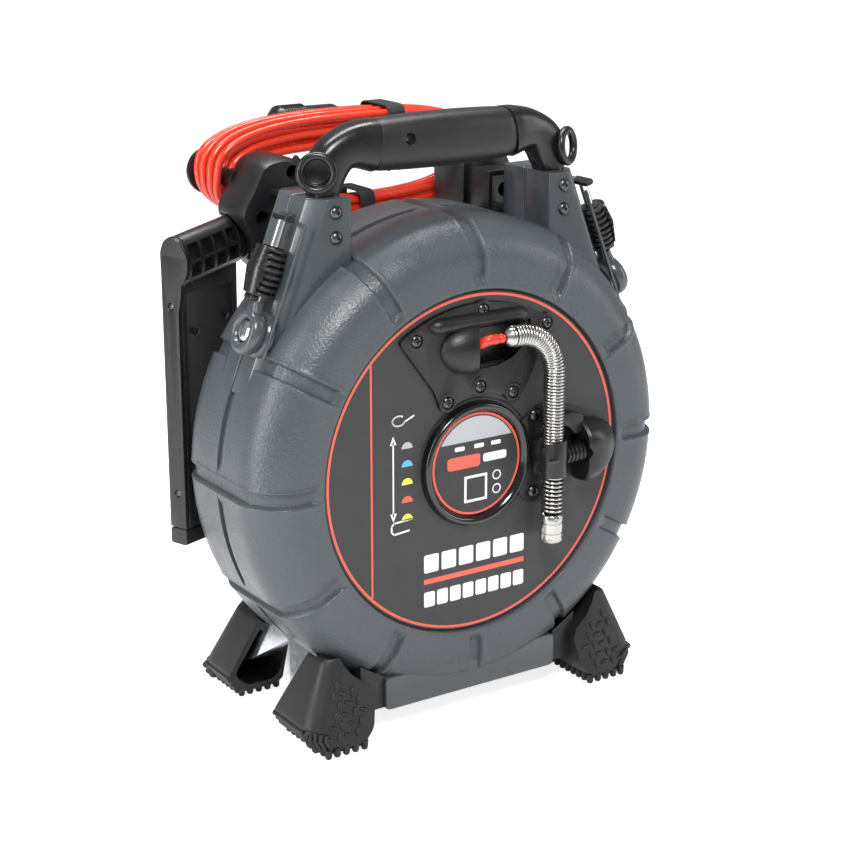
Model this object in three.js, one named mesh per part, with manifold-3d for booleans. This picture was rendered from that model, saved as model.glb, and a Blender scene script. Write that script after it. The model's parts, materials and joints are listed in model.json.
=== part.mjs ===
// Drain inspection camera: a push cable with a camera head, coiled on a drum inside a two-part
// round case that stands on four rubber feet and has a carry handle and a monitor dock.
// Millimetres. The case frame has X to the right, Y to the back and Z up, with its origin where
// the drum's axis meets the label plate. The finished group stands on Z = 0, with the centre of
// its footprint at the origin.
import * as THREE from 'three';
import { mergeVertices } from 'three/addons/utils/BufferGeometryUtils.js';
import Module from 'manifold-3d';

const wasm = await Module();
wasm.setup();

// ---------------------------------------------------------------- driving dimensions
const CASE_R = 168;                 // outer radius of the case
const CASE_DEPTH = 120;             // front face to back face
const FACE_Y = -3;                  // front face, just ahead of the label plate
const WALL = 4;                     // case wall
const PLATE_R = 120;                // label plate
const FACE_R = 151;                 // flat front annulus ends here
const CORNER_DEPTH = 20;            // depth of the sloping band between face and side
const AXIS_HEIGHT = 184;            // drum axis above the floor
const GROOVE_WIDTH = 11;
const GROOVE_DEPTH = 3.5;
const GROOVE_COUNT = 12;
const CABLE_R = 3.6;                // push cable
const SPRING_R = 7.6;               // flexible spring behind the camera head
const SPRING_Y = -14;               // spring's centre line, in front of the plate
const MOUTH_Z = 89;                 // height of the cable mouth's centre line
const CLIP_X = 55.5;                // spring's vertical run
const GRIP_HALF = 54.5;             // half length of the handle's grip
const GRIP_Z = 216;                 // grip centre line
const GRIP_Y = 45;
const TOWER_TOP = 187;
const TOWER_FRONT = 27;
const TOWER_BACK = 82;
const TOWER_INNER = 80;
const SIDE_LEAN = THREE.MathUtils.degToRad(21.5);   // lean of the towers' outer sides
const POST_X = 92;                  // handle posts, and the screws that hold them
const SOLE_Z = -AXIS_HEIGHT;
const CLEAT = 5;                    // depth of the tread under each foot
const BASE_HALF = 72;               // half width of the flat base block
const BASE_Z = -167;
const DOCK_YAW = THREE.MathUtils.degToRad(20);    // dock turned round the case's rear corner
const DOCK_RISE = THREE.MathUtils.degToRad(7);    // slope of the dock's barrel
const DRUM_R = 155;
const DRUM_FRONT = 20;              // the drum's front and rear faces
const DRUM_BACK = 100;
const GAP = 0.3;                    // clearance between cut or resting neighbours
const SEAM = 0.15;                  // each half of a split part stops this far from the split
const TOUCH = 0.01;                 // the space under a part that rests on another
const RING = 36;                    // segments round the case
const SMALL = 12;                   // segments round a screw or a pin

const PARTING = FACE_Y + CASE_DEPTH / 2;
const BACK_Y = FACE_Y + CASE_DEPTH;
const BORE_R = CASE_R - WALL;

// ---------------------------------------------------------------- materials
const finish = (color, roughness, metalness = 0) => ({ color, roughness, metalness });
const SHELL = finish(0x5f656a, 0.55);
const PLATE = finish(0x46464a, 0.6);
const BLACK = finish(0x2b2b2d, 0.6);
const RUBBER = finish(0x2e2e2f, 0.85);
const STEEL = finish(0xc9c9c6, 0.28, 1);
const SCREW = finish(0x3c3c3d, 0.4, 1);
const CABLE = finish(0xe8492a, 0.4);
const DRUM = finish(0x3a3a3d, 0.6);
const GLASS = finish(0x20242a, 0.1);
const BRASS = finish(0xb08d4a, 0.35, 1);

const assembly = new THREE.Group();

function addPart(name, geometry, look, parent = assembly) {
  const mesh = new THREE.Mesh(geometry, new THREE.MeshStandardMaterial(look));
  mesh.name = name;
  parent.add(mesh);
  return mesh;
}

// ---------------------------------------------------------------- solids
function signedVolume(positions, index) {
  const a = new THREE.Vector3();
  const b = new THREE.Vector3();
  const c = new THREE.Vector3();
  let total = 0;
  for (let i = 0; i < index.length; i += 3) {
    a.fromArray(positions, 3 * index[i]);
    b.fromArray(positions, 3 * index[i + 1]);
    c.fromArray(positions, 3 * index[i + 2]);
    total += a.dot(b.cross(c));
  }
  return total;
}

function solid(geometry) {
  const plain = geometry.clone();
  plain.deleteAttribute('normal');
  plain.deleteAttribute('uv');
  const merged = mergeVertices(plain, 1e-4);
  const positions = new Float32Array(merged.attributes.position.array);
  const corners = new Uint32Array(merged.index.array);
  if (signedVolume(positions, corners) < 0) corners.reverse();
  return new wasm.Manifold(new wasm.Mesh({ numProp: 3, vertProperties: positions, triVerts: corners }));
}

function geometryOf(body) {
  const mesh = body.getMesh();
  const geometry = new THREE.BufferGeometry();
  geometry.setAttribute('position', new THREE.BufferAttribute(mesh.vertProperties, 3));
  geometry.setIndex(new THREE.BufferAttribute(mesh.triVerts, 1));
  geometry.computeVertexNormals();
  return geometry;
}

const join = (first, ...rest) => rest.reduce((body, next) => body.add(next), first);
const cut = (first, ...rest) => rest.reduce((body, next) => body.subtract(next), first);

function outline(points) {
  return new THREE.Shape(points.map(([x, y]) => new THREE.Vector2(x, y)));
}

// A front-view outline in X and Z, run from y0 back to y1.
function alongY(shape, y0, y1, curveSegments = 10) {
  const geometry = new THREE.ExtrudeGeometry(shape, { depth: y1 - y0, bevelEnabled: false, curveSegments });
  geometry.rotateX(Math.PI / 2);
  geometry.translate(0, y1, 0);
  return geometry;
}

// A side-view outline in Y and Z, run from x0 across to x1.
function alongX(shape, x0, x1, curveSegments = 10) {
  const geometry = new THREE.ExtrudeGeometry(shape, { depth: x1 - x0, bevelEnabled: false, curveSegments });
  const turn = new THREE.Matrix4().makeBasis(
    new THREE.Vector3(0, 1, 0), new THREE.Vector3(0, 0, 1), new THREE.Vector3(1, 0, 0));
  geometry.applyMatrix4(turn);
  geometry.translate(x0, 0, 0);
  return geometry;
}

function box(x0, x1, y0, y1, z0, z1) {
  const geometry = new THREE.BoxGeometry(x1 - x0, y1 - y0, z1 - z0);
  geometry.translate((x0 + x1) / 2, (y0 + y1) / 2, (z0 + z1) / 2);
  return geometry;
}

// A round bar between two points, as plain [x, y, z] lists.
function bar(from, to, radius, segments = SMALL, endRadius = radius) {
  const start = new THREE.Vector3(...from);
  const end = new THREE.Vector3(...to);
  const along = end.clone().sub(start);
  const geometry = new THREE.CylinderGeometry(endRadius, radius, along.length(), segments);
  geometry.applyQuaternion(new THREE.Quaternion().setFromUnitVectors(
    new THREE.Vector3(0, 1, 0), along.clone().normalize()));
  geometry.translate(...start.add(end).multiplyScalar(0.5).toArray());
  return geometry;
}

// A body of revolution about the drum's axis, from [radius, y] points.
function turned(points, segments = RING) {
  return new THREE.LatheGeometry(points.map(([r, y]) => new THREE.Vector2(r, y)), segments);
}

function ringOf(inner, outer, y0, y1, segments = RING) {
  return turned([[inner, y0], [outer, y0], [outer, y1], [inner, y1], [inner, y0]], segments);
}

function discOf(radius, y0, y1, segments = RING) {
  return turned([[0, y0], [radius, y0], [radius, y1], [0, y1]], segments);
}

function sweep(points, radius, steps, segments = 12) {
  const circle = new THREE.Shape();
  circle.absarc(0, 0, radius, 0, 2 * Math.PI);
  const spots = points.map((p) => new THREE.Vector3(...p));
  const curve = new THREE.CatmullRomCurve3(spots, false, 'centripetal');
  return new THREE.ExtrudeGeometry(circle, { steps, extrudePath: curve, curveSegments: segments / 2 });
}

// Two numbers, the smaller one first.
const ordered = (a, b) => [Math.min(a, b), Math.max(a, b)];

const polar = (radius, degrees) => {
  const angle = THREE.MathUtils.degToRad(degrees);
  return [radius * Math.cos(angle), radius * Math.sin(angle)];
};

// ---------------------------------------------------------------- the round case
const FRONT_WALL = 2 * WALL;         // the flat faces are twice as thick as the side
const OMITTED_GROOVE = 9;            // the lowest groove, where the base block is

// Half of the case's outer skin: face, sloping band and side, from the face to the parting plane.
function caseSkin(side) {
  const face = side < 0 ? FACE_Y : BACK_Y;
  const band = face - side * CORNER_DEPTH;
  return solid(turned([[0, face], [FACE_R, face], [CASE_R, band], [CASE_R, PARTING], [0, PARTING]]));
}

function caseHollow(side) {
  const face = (side < 0 ? FACE_Y : BACK_Y) - side * FRONT_WALL;
  const band = (side < 0 ? FACE_Y : BACK_Y) - side * (CORNER_DEPTH + 2);
  const past = PARTING - side * 10;
  return solid(turned([[0, face], [FACE_R - 3, face], [BORE_R, band], [BORE_R, past], [0, past]]));
}

// The case's whole outside, grown by a gap: what its neighbours are cut back with.
function caseClearance(gap) {
  return solid(turned([[0, FACE_Y - gap], [FACE_R + gap, FACE_Y - gap],
    [CASE_R + gap, FACE_Y + CORNER_DEPTH - gap], [CASE_R + gap, BACK_Y - CORNER_DEPTH + gap],
    [FACE_R + gap, BACK_Y + gap], [0, BACK_Y + gap]]));
}

// One radial groove, cut across the face, the band and the side.
function groove(side, degrees) {
  const face = side < 0 ? FACE_Y : BACK_Y;
  const inward = -side * GROOVE_DEPTH;
  const start = side < 0 ? PLATE_R + 4 : FACE_R - 12;
  const profile = outline([
    [start, face], [start + 8, face + inward], [FACE_R - 2, face + inward],
    [CASE_R - GROOVE_DEPTH, face - side * (CORNER_DEPTH + 1)], [CASE_R - GROOVE_DEPTH, PARTING],
    [CASE_R + 9, PARTING], [CASE_R + 9, face + side * 3], [start, face + side * 3],
  ]);
  const geometry = new THREE.ExtrudeGeometry(profile, { depth: GROOVE_WIDTH, bevelEnabled: false });
  geometry.translate(0, 0, -GROOVE_WIDTH / 2);
  const [c, s] = polar(1, degrees);
  geometry.applyMatrix4(new THREE.Matrix4().makeBasis(
    new THREE.Vector3(c, 0, s), new THREE.Vector3(0, 1, 0), new THREE.Vector3(-s, 0, c)));
  return solid(geometry);
}

// The outer side of a tower is a plane that touches the case's circle; this is its X at height z.
const towerOuter = (z, standOff = 0) => (CASE_R + standOff - z * Math.sin(SIDE_LEAN)) / Math.cos(SIDE_LEAN);

function tower(side, y0, y1) {
  const shape = outline([
    [side * TOWER_INNER, 120], [side * TOWER_INNER, TOWER_TOP],
    [side * towerOuter(TOWER_TOP), TOWER_TOP],
    [side * CASE_R * Math.cos(SIDE_LEAN), CASE_R * Math.sin(SIDE_LEAN)],
    [side * 130, 70],                                  // inside the case
  ]);
  return solid(alongY(shape, y0, y1));
}

// Bevel along the tower's front outer corner.
function towerBevel(side) {
  const bevel = 10;
  const far = 40;
  const foot = 64;                                     // height where the side leaves the case
  const profile = outline([
    [-bevel, TOWER_FRONT - 1], [far, TOWER_FRONT - 1], [far, TOWER_FRONT + bevel + 4],
    [0.2, TOWER_FRONT + bevel + 4],
  ]);
  const geometry = new THREE.ExtrudeGeometry(profile, { depth: 160, bevelEnabled: false });
  if (side < 0) geometry.applyMatrix4(new THREE.Matrix4().makeScale(-1, 1, 1));
  geometry.translate(0, 0, -20);
  geometry.applyMatrix4(new THREE.Matrix4().makeRotationY(-side * SIDE_LEAN));
  geometry.translate(side * towerOuter(foot), 0, foot);
  return solid(geometry);
}

// A leg inside the rubber foot, joined to the case low on each side.
const LEG_ENDS = [-2, 137];

function legShape(side, grow = 0) {
  return outline([
    [side * 78, -136], [side * (84 - grow), SOLE_Z + 16 - grow],
    [side * (122 + grow), SOLE_Z + 16 - grow], [side * (134 + grow), SOLE_Z + 28 - grow],
    [side * (113 + grow), -116 + grow], [side * 100, -108],
  ]);
}

function legs(y0, y1) {
  return [-1, 1].map((side) => solid(alongY(legShape(side), y0, y1)));
}

// The handle's posts stand in slots in the front half's towers.
const POST = { half: 8, front: 34, back: 55, foot: 152 };

function handlePostSlot(side) {
  const room = POST.half + 0.4;
  return solid(box(side * POST_X - room, side * POST_X + room, POST.front - 1, POST.back + 1,
    POST.foot - 2, TOWER_TOP + 1));
}

function caseHalf(side) {
  const front = side < 0;
  const near = PARTING + side * SEAM;
  const towerEnds = front ? [TOWER_FRONT, PARTING] : [PARTING, TOWER_BACK];
  const baseEnds = front ? [2, PARTING] : [PARTING, BACK_Y - 5];
  const legEnds = front ? [LEG_ENDS[0], PARTING] : [PARTING, LEG_ENDS[1]];
  let half = join(caseSkin(side),
    ...[-1, 1].map((s) => tower(s, ...towerEnds)),
    ...legs(...legEnds),
    solid(box(-BASE_HALF, BASE_HALF, ...baseEnds, BASE_Z, -120)));
  const spokes = [...Array(GROOVE_COUNT).keys()].filter((k) => k !== OMITTED_GROOVE);
  half = cut(half, ...spokes.map((k) => groove(side, k * 360 / GROOVE_COUNT)), caseHollow(side));
  const far = 2 * CASE_R;
  return cut(half, solid(box(-far, far, ...ordered(near, near - side * far), -far, far)));
}

// The case halves turn on a pin under the base block. Three knuckles take it in turn.
const HINGE = { y: PARTING, z: -174, radius: 5.5, pin: 2.5, halfLength: 60, arm: 16 };
const MIDDLE_KNUCKLE = [-24, 24];
const OUTER_KNUCKLES = [[-56, -24.6], [24.6, 56]];

function hingeBar(x0, x1, radius) {
  return bar([x0, HINGE.y, HINGE.z], [x1, HINGE.y, HINGE.z], radius, 20);
}

function knuckle(x0, x1, towards) {
  const arm = box(x0, x1, ...ordered(HINGE.y, HINGE.y + towards * HINGE.arm), HINGE.z, BASE_Z + 3);
  const otherHalf = box(x0 - 1, x1 + 1, ...ordered(HINGE.y + towards * SEAM, HINGE.y - towards * 20),
    HINGE.z + HINGE.radius, 0);
  return cut(join(solid(hingeBar(x0, x1, HINGE.radius)), solid(arm)), solid(otherHalf));
}

const pinHole = solid(hingeBar(-HINGE.halfLength - 2, HINGE.halfLength + 2, HINGE.pin + 0.05));

// Clearance round the knuckles of the other half.
function knuckleRoom(x0, x1) {
  return solid(hingeBar(x0 - 0.5, x1 + 0.5, HINGE.radius + 0.8));
}

// The way out for the push cable, through the plate and the case.
function mouthOpening() {
  return solid(box(-14, 40, -5, 12, 68, 100));
}

// The cone on the drum's front, the seat ring it centres in, and the recess for the label plate.
const CONE = { tip: 12, root: 22, tipY: 7, rootY: 17, clear: 0.6, clearR: 0.9 };
const SEAT_R = 30;
const PLATE_BACK = 1.85;
const RECESS_Y = 2;
const TOWER_SCREWS = [161.5, 178];
const SCREW_HOLE = 2.2;

function frontCase() {
  const seat = solid(ringOf(0.5, SEAT_R, RECESS_Y + 1, 14.5));
  const socketTip = CONE.tipY - CONE.clear;
  const socketRoot = CONE.rootY - CONE.clear;
  const socket = solid(turned([[0, socketTip], [CONE.tip + CONE.clearR, socketTip],
    [CONE.root + CONE.clearR, socketRoot], [0, socketRoot]]));
  let body = caseHalf(-1);
  body = cut(body, solid(discOf(PLATE_R + 0.5, FACE_Y - 1, RECESS_Y)));
  body = join(body, seat);
  body = cut(body, socket, solid(discOf(8, -5, 20, 24)), mouthOpening(),
    ...[-1, 1].map(handlePostSlot));
  for (const side of [-1, 1]) {
    body = cut(body, towerBevel(side));
    for (const z of TOWER_SCREWS) {
      const ends = [[side * POST_X, TOWER_FRONT - 2, z], [side * POST_X, POST.front, z]];
      body = cut(body, solid(bar(...ends, SCREW_HOLE + 0.2)));
    }
  }
  body = cut(body, ...OUTER_KNUCKLES.map(([x0, x1]) => knuckleRoom(x0, x1)));
  body = join(body, knuckle(...MIDDLE_KNUCKLE, -1));
  body = cut(body, pinHole);
  addPart('front_case', geometryOf(body), SHELL);
}

const BEARING = { inner: 12, outer: 22, y0: 101.3, y1: 108 };
const SLIP_R = 10;

function rearCase() {
  const seat = solid(ringOf(BEARING.outer + GAP, SEAT_R + 2, BEARING.y0, BACK_Y - WALL));
  const floor = solid(discOf(SEAT_R + 1, BEARING.y1 + 0.2, BACK_Y - 1));
  const slipRoom = solid(discOf(SLIP_R + 0.4, BEARING.y1 - 1, BACK_Y - 3, 32));
  const vent = solid(discOf(4, BACK_Y - 6, BACK_Y + 2, 16));
  let body = join(caseHalf(1), seat, floor, catchPlate(-1), catchPlate(1));
  body = cut(body, slipRoom, vent, knuckleRoom(...MIDDLE_KNUCKLE));
  body = join(body, ...OUTER_KNUCKLES.map(([x0, x1]) => knuckle(x0, x1, 1)));
  body = cut(body, pinHole);
  addPart('rear_case', geometryOf(body), SHELL);
}

function hingePin() {
  addPart('case_hinge_pin', hingeBar(-HINGE.halfLength, HINGE.halfLength, HINGE.pin), STEEL);
}

// ---------------------------------------------------------------- label plate and cable guide
// Phillips screws round the guide cover, as [radius, degrees] from the drum's axis.
const GUIDE_SCREWS = [[105.4, 118], [107.2, 88], [107.4, 58], [54.5, 88], [55, 57.5], [53, 117.5]];
const BRACKET_SCREWS = [[48.5, 26.5], [48, -29]];
const HUB_R = 43;
const HUB_BORE = 36.5;
const COVER_Y = -2.2;                // front of the guide cover's flat part

function frontPlate() {
  const body = cut(solid(discOf(PLATE_R, 0, PLATE_BACK)), mouthOpening(),
    solid(discOf(SEAT_R, -5, 20, 48)));
  addPart('front_plate', geometryOf(body), PLATE);
}

function guideOutline() {
  const shape = new THREE.Shape();
  const start = THREE.MathUtils.degToRad(124);
  const end = THREE.MathUtils.degToRad(50);
  const inner = 49;
  shape.absarc(0, 0, 112, end, start, false);
  shape.lineTo(...polar(56, 128));
  shape.absarc(0, 0, inner, THREE.MathUtils.degToRad(122), THREE.MathUtils.degToRad(52), true);
  shape.lineTo(...polar(60, 44));
  return shape;
}

// The ellipsoid of the scoop that hides the cable's way out, and the hollow inside it.
const SCOOP = { z: 82, outer: [26, 17, 19], inner: [22.5, 14, 16.2], edge: 3, slant: 0.67 };

function scoopDome(halfSizes) {
  const dome = new THREE.SphereGeometry(1, 12, 8);
  dome.scale(...halfSizes);
  dome.translate(0, 0, SCOOP.z);
  return solid(dome);
}

function guideCover() {
  const behind = solid(box(-PLATE_R, PLATE_R, -TOUCH, 40, 0, 160));
  const hollow = scoopDome(SCOOP.inner);
  const slab = solid(alongY(guideOutline(), COVER_Y, -TOUCH, 16));
  const open = alongY(outline([[SCOOP.edge, 0], [80, 0], [80, 160], [SCOOP.edge, 160]]), -40, 40);
  open.applyMatrix4(new THREE.Matrix4().makeShear(0, 0, SCOOP.slant, 0, 0, 0));
  const scoop = cut(scoopDome(SCOOP.outer), hollow, behind, solid(open));
  const window = cut(solid(box(-20, 40, -3, 1, 69, 95)), solid(box(-30, 0, -3, 1, 0, 78)));
  const rib = cut(solid(bar([-34, -2, 97], [46, -2, 104], 7)), behind, hollow, window);
  let body = join(cut(slab, window), scoop, rib);
  for (const [radius, angle] of GUIDE_SCREWS) {
    const [x, z] = polar(radius, angle);
    body = cut(body, solid(bar([x, -20, z], [x, SCREW_SEAT, z], 5, SMALL)));
    body = cut(body, solid(bar([x, -2, z], [x, 1, z], SHANK_R + 0.2, SMALL)));
  }
  addPart('guide_cover', geometryOf(body), BLACK);
  GUIDE_SCREWS.forEach(([radius, angle], k) => {
    const [x, z] = polar(radius, angle);
    addPart(`guide_screw_${k + 1}`, screwHead(x, SCREW_SEAT, z), SCREW);
  });
}

const SCREW_SEAT = -1;
const HEAD_R = 4;
const SHANK_R = 1.5;

// A domed screw head with a short shank, pointing forwards from its seat at y.
function screwHead(x, y, z) {
  const shankEnd = 0.85;
  const head = turned([[0, -HEAD_R * 0.62], [HEAD_R * 0.6, -HEAD_R * 0.5], [HEAD_R, 0], [SHANK_R, 0],
    [SHANK_R, shankEnd], [0, shankEnd]], SMALL);
  head.translate(x, y, z);
  return head;
}

function hub() {
  const ring = turned([[HUB_BORE, -1.5], [HUB_BORE + 1.5, -5], [HUB_R - 3, -5.6], [HUB_R, -3.5],
    [HUB_R, -TOUCH], [HUB_BORE, -TOUCH], [HUB_BORE, -1.5]], 28);
  addPart('hub_ring', ring, BLACK);
  addPart('hub_label', discOf(HUB_BORE - 0.5, -1.4, -TOUCH, 28), PLATE);
}

// ---------------------------------------------------------------- spring clip
const PAD_Y = -1.7;                  // front of the bracket's pad
const CHEEK = [81, 118];             // the bracket's cheek, from side to side

function clipBracket() {
  const rim = PLATE_R - 1;
  const inner = HUB_R + 1;
  const [top, bottom] = [33, -36].map(THREE.MathUtils.degToRad);
  const shape = new THREE.Shape();
  shape.moveTo(...polar(inner, 33));
  shape.lineTo(...polar(60, 31));
  shape.quadraticCurveTo(100, 28, ...polar(rim, 4));
  shape.absarc(0, 0, rim, THREE.MathUtils.degToRad(4), THREE.MathUtils.degToRad(-6), true);
  shape.lineTo(78, -34);
  shape.lineTo(...polar(59, -38));
  shape.lineTo(...polar(inner, -36));
  shape.absarc(0, 0, inner, bottom, top, false);
  const pad = solid(alongY(shape, PAD_Y, -TOUCH, 12));
  const cheekSide = outline([[-22, -24], [-24, 8], [-18, 14], [-1, 18], [-1, -26]]);
  const cheek = solid(alongX(cheekSide, ...CHEEK));
  const taper = solid(alongY(outline([[80, -40], [118, -1], [119, 12], [104, 19], [80, 22]]), -40, 0));
  const body = cut(join(pad, cheek.intersect(taper)),
    ...BRACKET_SCREWS.map(([x, z]) => solid(bar([x, -3, z], [x, 1, z], SHANK_R + 0.2))));
  addPart('clip_bracket', geometryOf(body), BLACK);
  BRACKET_SCREWS.forEach(([x, z], k) => {
    addPart(`clip_screw_${k + 1}`, screwHead(x, PAD_Y - 0.05, z), SCREW);
  });
}

// The clip holds the spring in a C that opens to the left, so the spring swings out sideways.
function cameraClip() {
  const jaw = SPRING_R + 2.4;
  const hollow = SPRING_R + 0.4;
  const height = 13;
  const centre = -2;
  const ends = [centre - height, centre + height];
  const past = [centre - 20, centre + 20];
  const upright = (radius, z) => bar([CLIP_X, SPRING_Y, z[0]], [CLIP_X, SPRING_Y, z[1]], radius, 20);
  const shell = solid(upright(jaw, ends));
  const bore = solid(upright(hollow, past));
  const front = solid(box(CLIP_X - jaw - 5, CLIP_X, SPRING_Y - jaw, SPRING_Y - hollow - 0.2, ...ends));
  const back = solid(box(CLIP_X - jaw + 1, CLIP_X, SPRING_Y + hollow + 0.2, SPRING_Y + jaw - 1, ...ends));
  const way = solid(box(CLIP_X - 30, CLIP_X, SPRING_Y - hollow, SPRING_Y + hollow, ...past));
  const neckEnd = CHEEK[0] - 0.4;
  const neck = solid(bar([CLIP_X + jaw - 2, SPRING_Y, centre], [neckEnd, SPRING_Y, centre], 6.5, 20));
  const body = cut(join(shell, front, back, neck), bore, way);
  addPart('camera_clip', geometryOf(body), BLACK);
}

// ---------------------------------------------------------------- camera, spring and cable
const BEND_R = 30;
const BEND = { x: CLIP_X - BEND_R, z: MOUTH_Z - BEND_R };
const SWIVEL_X = 10.5;                 // the camera swings about a ball here
const SWIVEL_R = 3.4;
const SPRING_START = 19.5;
const SPRING_END = -43;
const HEAD_LENGTH = 21;

function cameraHead() {
  const r = SPRING_R + 0.15;
  const end = SPRING_END - HEAD_LENGTH;
  const profile = [[0, end + 1.2], [4.6, end + 1.2], [4.6, end], [r - 1.6, end], [r, end + 2.4],
    [r, end + 7.6], [r - 0.5, end + 7.9], [r - 0.5, end + 8.6], [r, end + 8.9],
    [r, SPRING_END - 1.5], [r - 0.6, SPRING_END], [0, SPRING_END]];
  const geometry = new THREE.LatheGeometry(profile.map(([x, y]) => new THREE.Vector2(x, y)), 18);
  geometry.rotateX(Math.PI / 2);
  geometry.translate(CLIP_X, SPRING_Y, 0);
  addPart('camera_head', geometry, STEEL);
  const lens = bar([CLIP_X, SPRING_Y, end + 0.2], [CLIP_X, SPRING_Y, end + 1.18], 4.3, 24);
  addPart('camera_window', lens, GLASS);
}

function flexSpring() {
  const bendPoints = [];
  const steps = 8;
  for (let k = 0; k <= steps; k += 1) {
    const [dx, dz] = polar(BEND_R, 90 - 90 * k / steps);
    bendPoints.push([BEND.x + dx, SPRING_Y, BEND.z + dz]);
  }
  const points = [[SPRING_START, SPRING_Y, MOUTH_Z], ...bendPoints,
    [CLIP_X, SPRING_Y, 20], [CLIP_X, SPRING_Y, -20], [CLIP_X, SPRING_Y, SPRING_END + 0.05]];
  addPart('flex_spring', sweep(points, SPRING_R, 20, 10), STEEL);
}

function ferruleAndCable() {
  const profile = [[0, -SWIVEL_R], [SWIVEL_R * 0.7, -SWIVEL_R * 0.7], [SWIVEL_R, 0], [SWIVEL_R, 2.9],
    [4.4, 3], [6.9, SPRING_START - SWIVEL_X - 0.02], [0, SPRING_START - SWIVEL_X - 0.02]];
  const ferrule = new THREE.LatheGeometry(profile.map(([r, x]) => new THREE.Vector2(r, x)), 16);
  ferrule.rotateZ(-Math.PI / 2);
  ferrule.translate(SWIVEL_X, SPRING_Y, MOUTH_Z);
  addPart('spring_ferrule', ferrule, STEEL);
  const leadEnd = SWIVEL_X - SWIVEL_R - 0.1;
  const lead = [[-7, 6, 82], [-6.5, -1, 84], [-4, -8, 86.6], [0.5, SPRING_Y + 1, MOUTH_Z - 0.4],
    [leadEnd, SPRING_Y, MOUTH_Z]];
  addPart('push_cable_lead', sweep(lead, CABLE_R, 6, 8), CABLE);
}

// ---------------------------------------------------------------- drum and bearings
function drumParts() {
  const shell = 3;
  const hubR = 24;
  const lip = 118;
  const [y0, y1] = [DRUM_FRONT, DRUM_BACK];
  const profile = [[0, y0], [hubR, y0], [hubR, y1 - shell], [DRUM_R - shell, y1 - shell],
    [DRUM_R - shell, y0 + shell], [lip, y0 + shell], [lip, y0], [DRUM_R, y0], [DRUM_R, y1], [0, y1]];
  const stub = solid(discOf(BEARING.inner - GAP, y1 - 1, BEARING.y1 - 0.4, 24));
  addPart('drum', geometryOf(join(solid(turned(profile, 28)), stub)), DRUM);
  const rope = { r: (DRUM_R + 96) / 2, y: (y0 + y1) / 2, halfWidth: 30, halfDepth: 24 };
  const ropePoints = [];
  for (let k = 0; k <= 8; k += 1) {
    const [dx, dy] = polar(1, 45 * k);
    ropePoints.push([rope.r + rope.halfDepth * dx, rope.y + rope.halfWidth * dy]);
  }
  ropePoints[8] = [...ropePoints[0]];
  addPart('push_cable_coil', turned(ropePoints, 28), CABLE);
  addPart('front_centre', turned([[0, CONE.tipY], [CONE.tip, CONE.tipY], [CONE.root, CONE.rootY],
    [CONE.root, y0 - 0.02], [0, y0 - 0.02]], 24), BRASS);
  addPart('rear_bearing', ringOf(BEARING.inner, BEARING.outer, BEARING.y0 + 0.02, BEARING.y1, 24), STEEL);
  addPart('slip_ring', discOf(SLIP_R, BEARING.y1 - 0.35, BACK_Y - 4, 24), BRASS);
}

// ---------------------------------------------------------------- carry handle
const GRIP_CORE = { y: 7, z: 9 };     // half sizes of the frame's bar inside the grip
const GRIP_SCREW = { x: -GRIP_HALF + 22, z: GRIP_Z + 4, seat: GRIP_Y - 11 };
const STRAP = { z: 205, front: 40, web: 47, back: 60, radius: 15, eye: 11 };

function superEllipse(halfY, halfZ, count, power = 0.8) {
  const points = [];
  for (let k = 0; k < count; k += 1) {
    const angle = 2 * Math.PI * k / count;
    const round = (v) => Math.sign(v) * Math.abs(v) ** power;
    points.push([halfY * round(Math.cos(angle)), halfZ * round(Math.sin(angle))]);
  }
  return points;
}

// One arm of the frame, from its post in the tower up and in to the grip's end.
function arm(side) {
  const [inner, outer] = [side * (POST_X - POST.half), side * (POST_X + POST.half)];
  const end = side * (GRIP_HALF + 0.2);
  const shape = new THREE.Shape();
  shape.moveTo(inner, POST.foot);
  shape.lineTo(outer, POST.foot);
  shape.lineTo(outer, TOWER_TOP + 1);
  shape.quadraticCurveTo(side * 106, 214, side * 86, 224);
  shape.quadraticCurveTo(side * 70, 232, end, GRIP_Z + 16.5);
  shape.lineTo(end, GRIP_Z - 13);
  shape.quadraticCurveTo(inner, 202, inner, TOWER_TOP + 1);
  return solid(alongY(shape, POST.front, POST.back, 8));
}

function gripCore(halfLength, grow = 0) {
  const [y, z] = [GRIP_CORE.y + grow, GRIP_CORE.z + grow];
  return solid(box(-halfLength, halfLength, GRIP_Y - y, GRIP_Y + y, GRIP_Z - z, GRIP_Z + z));
}

function strapBar(side, y0, y1, radius, segments = 20) {
  return bar([side * POST_X, y0, STRAP.z], [side * POST_X, y1, STRAP.z], radius, segments);
}

function gripScrewBar(y0, y1, radius) {
  return solid(bar([GRIP_SCREW.x, y0, GRIP_SCREW.z], [GRIP_SCREW.x, y1, GRIP_SCREW.z], radius));
}

function handleFrame() {
  const sides = [-1, 1];
  const rings = sides.map((side) => solid(strapBar(side, STRAP.front, STRAP.back, STRAP.radius)));
  const eyes = sides.map((side) => solid(strapBar(side, STRAP.web, STRAP.back + 2, STRAP.eye)));
  let body = join(arm(-1), arm(1), gripCore(GRIP_HALF + 1), ...rings);
  body = cut(body, ...eyes, gripScrewBar(36, 60, SCREW_HOLE));
  for (const side of sides) {
    for (const z of TOWER_SCREWS) {
      body = cut(body, solid(bar([side * POST_X, 30, z], [side * POST_X, 43, z], SCREW_HOLE)));
    }
  }
  addPart('handle_frame', geometryOf(body), BLACK);
  addPart('strap_pin_left', strapBar(-1, STRAP.web + GAP, STRAP.back, 3.4, SMALL), STEEL);
  addPart('strap_pin_right', strapBar(1, STRAP.web + GAP, STRAP.back, 3.4, SMALL), STEEL);
}

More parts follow.
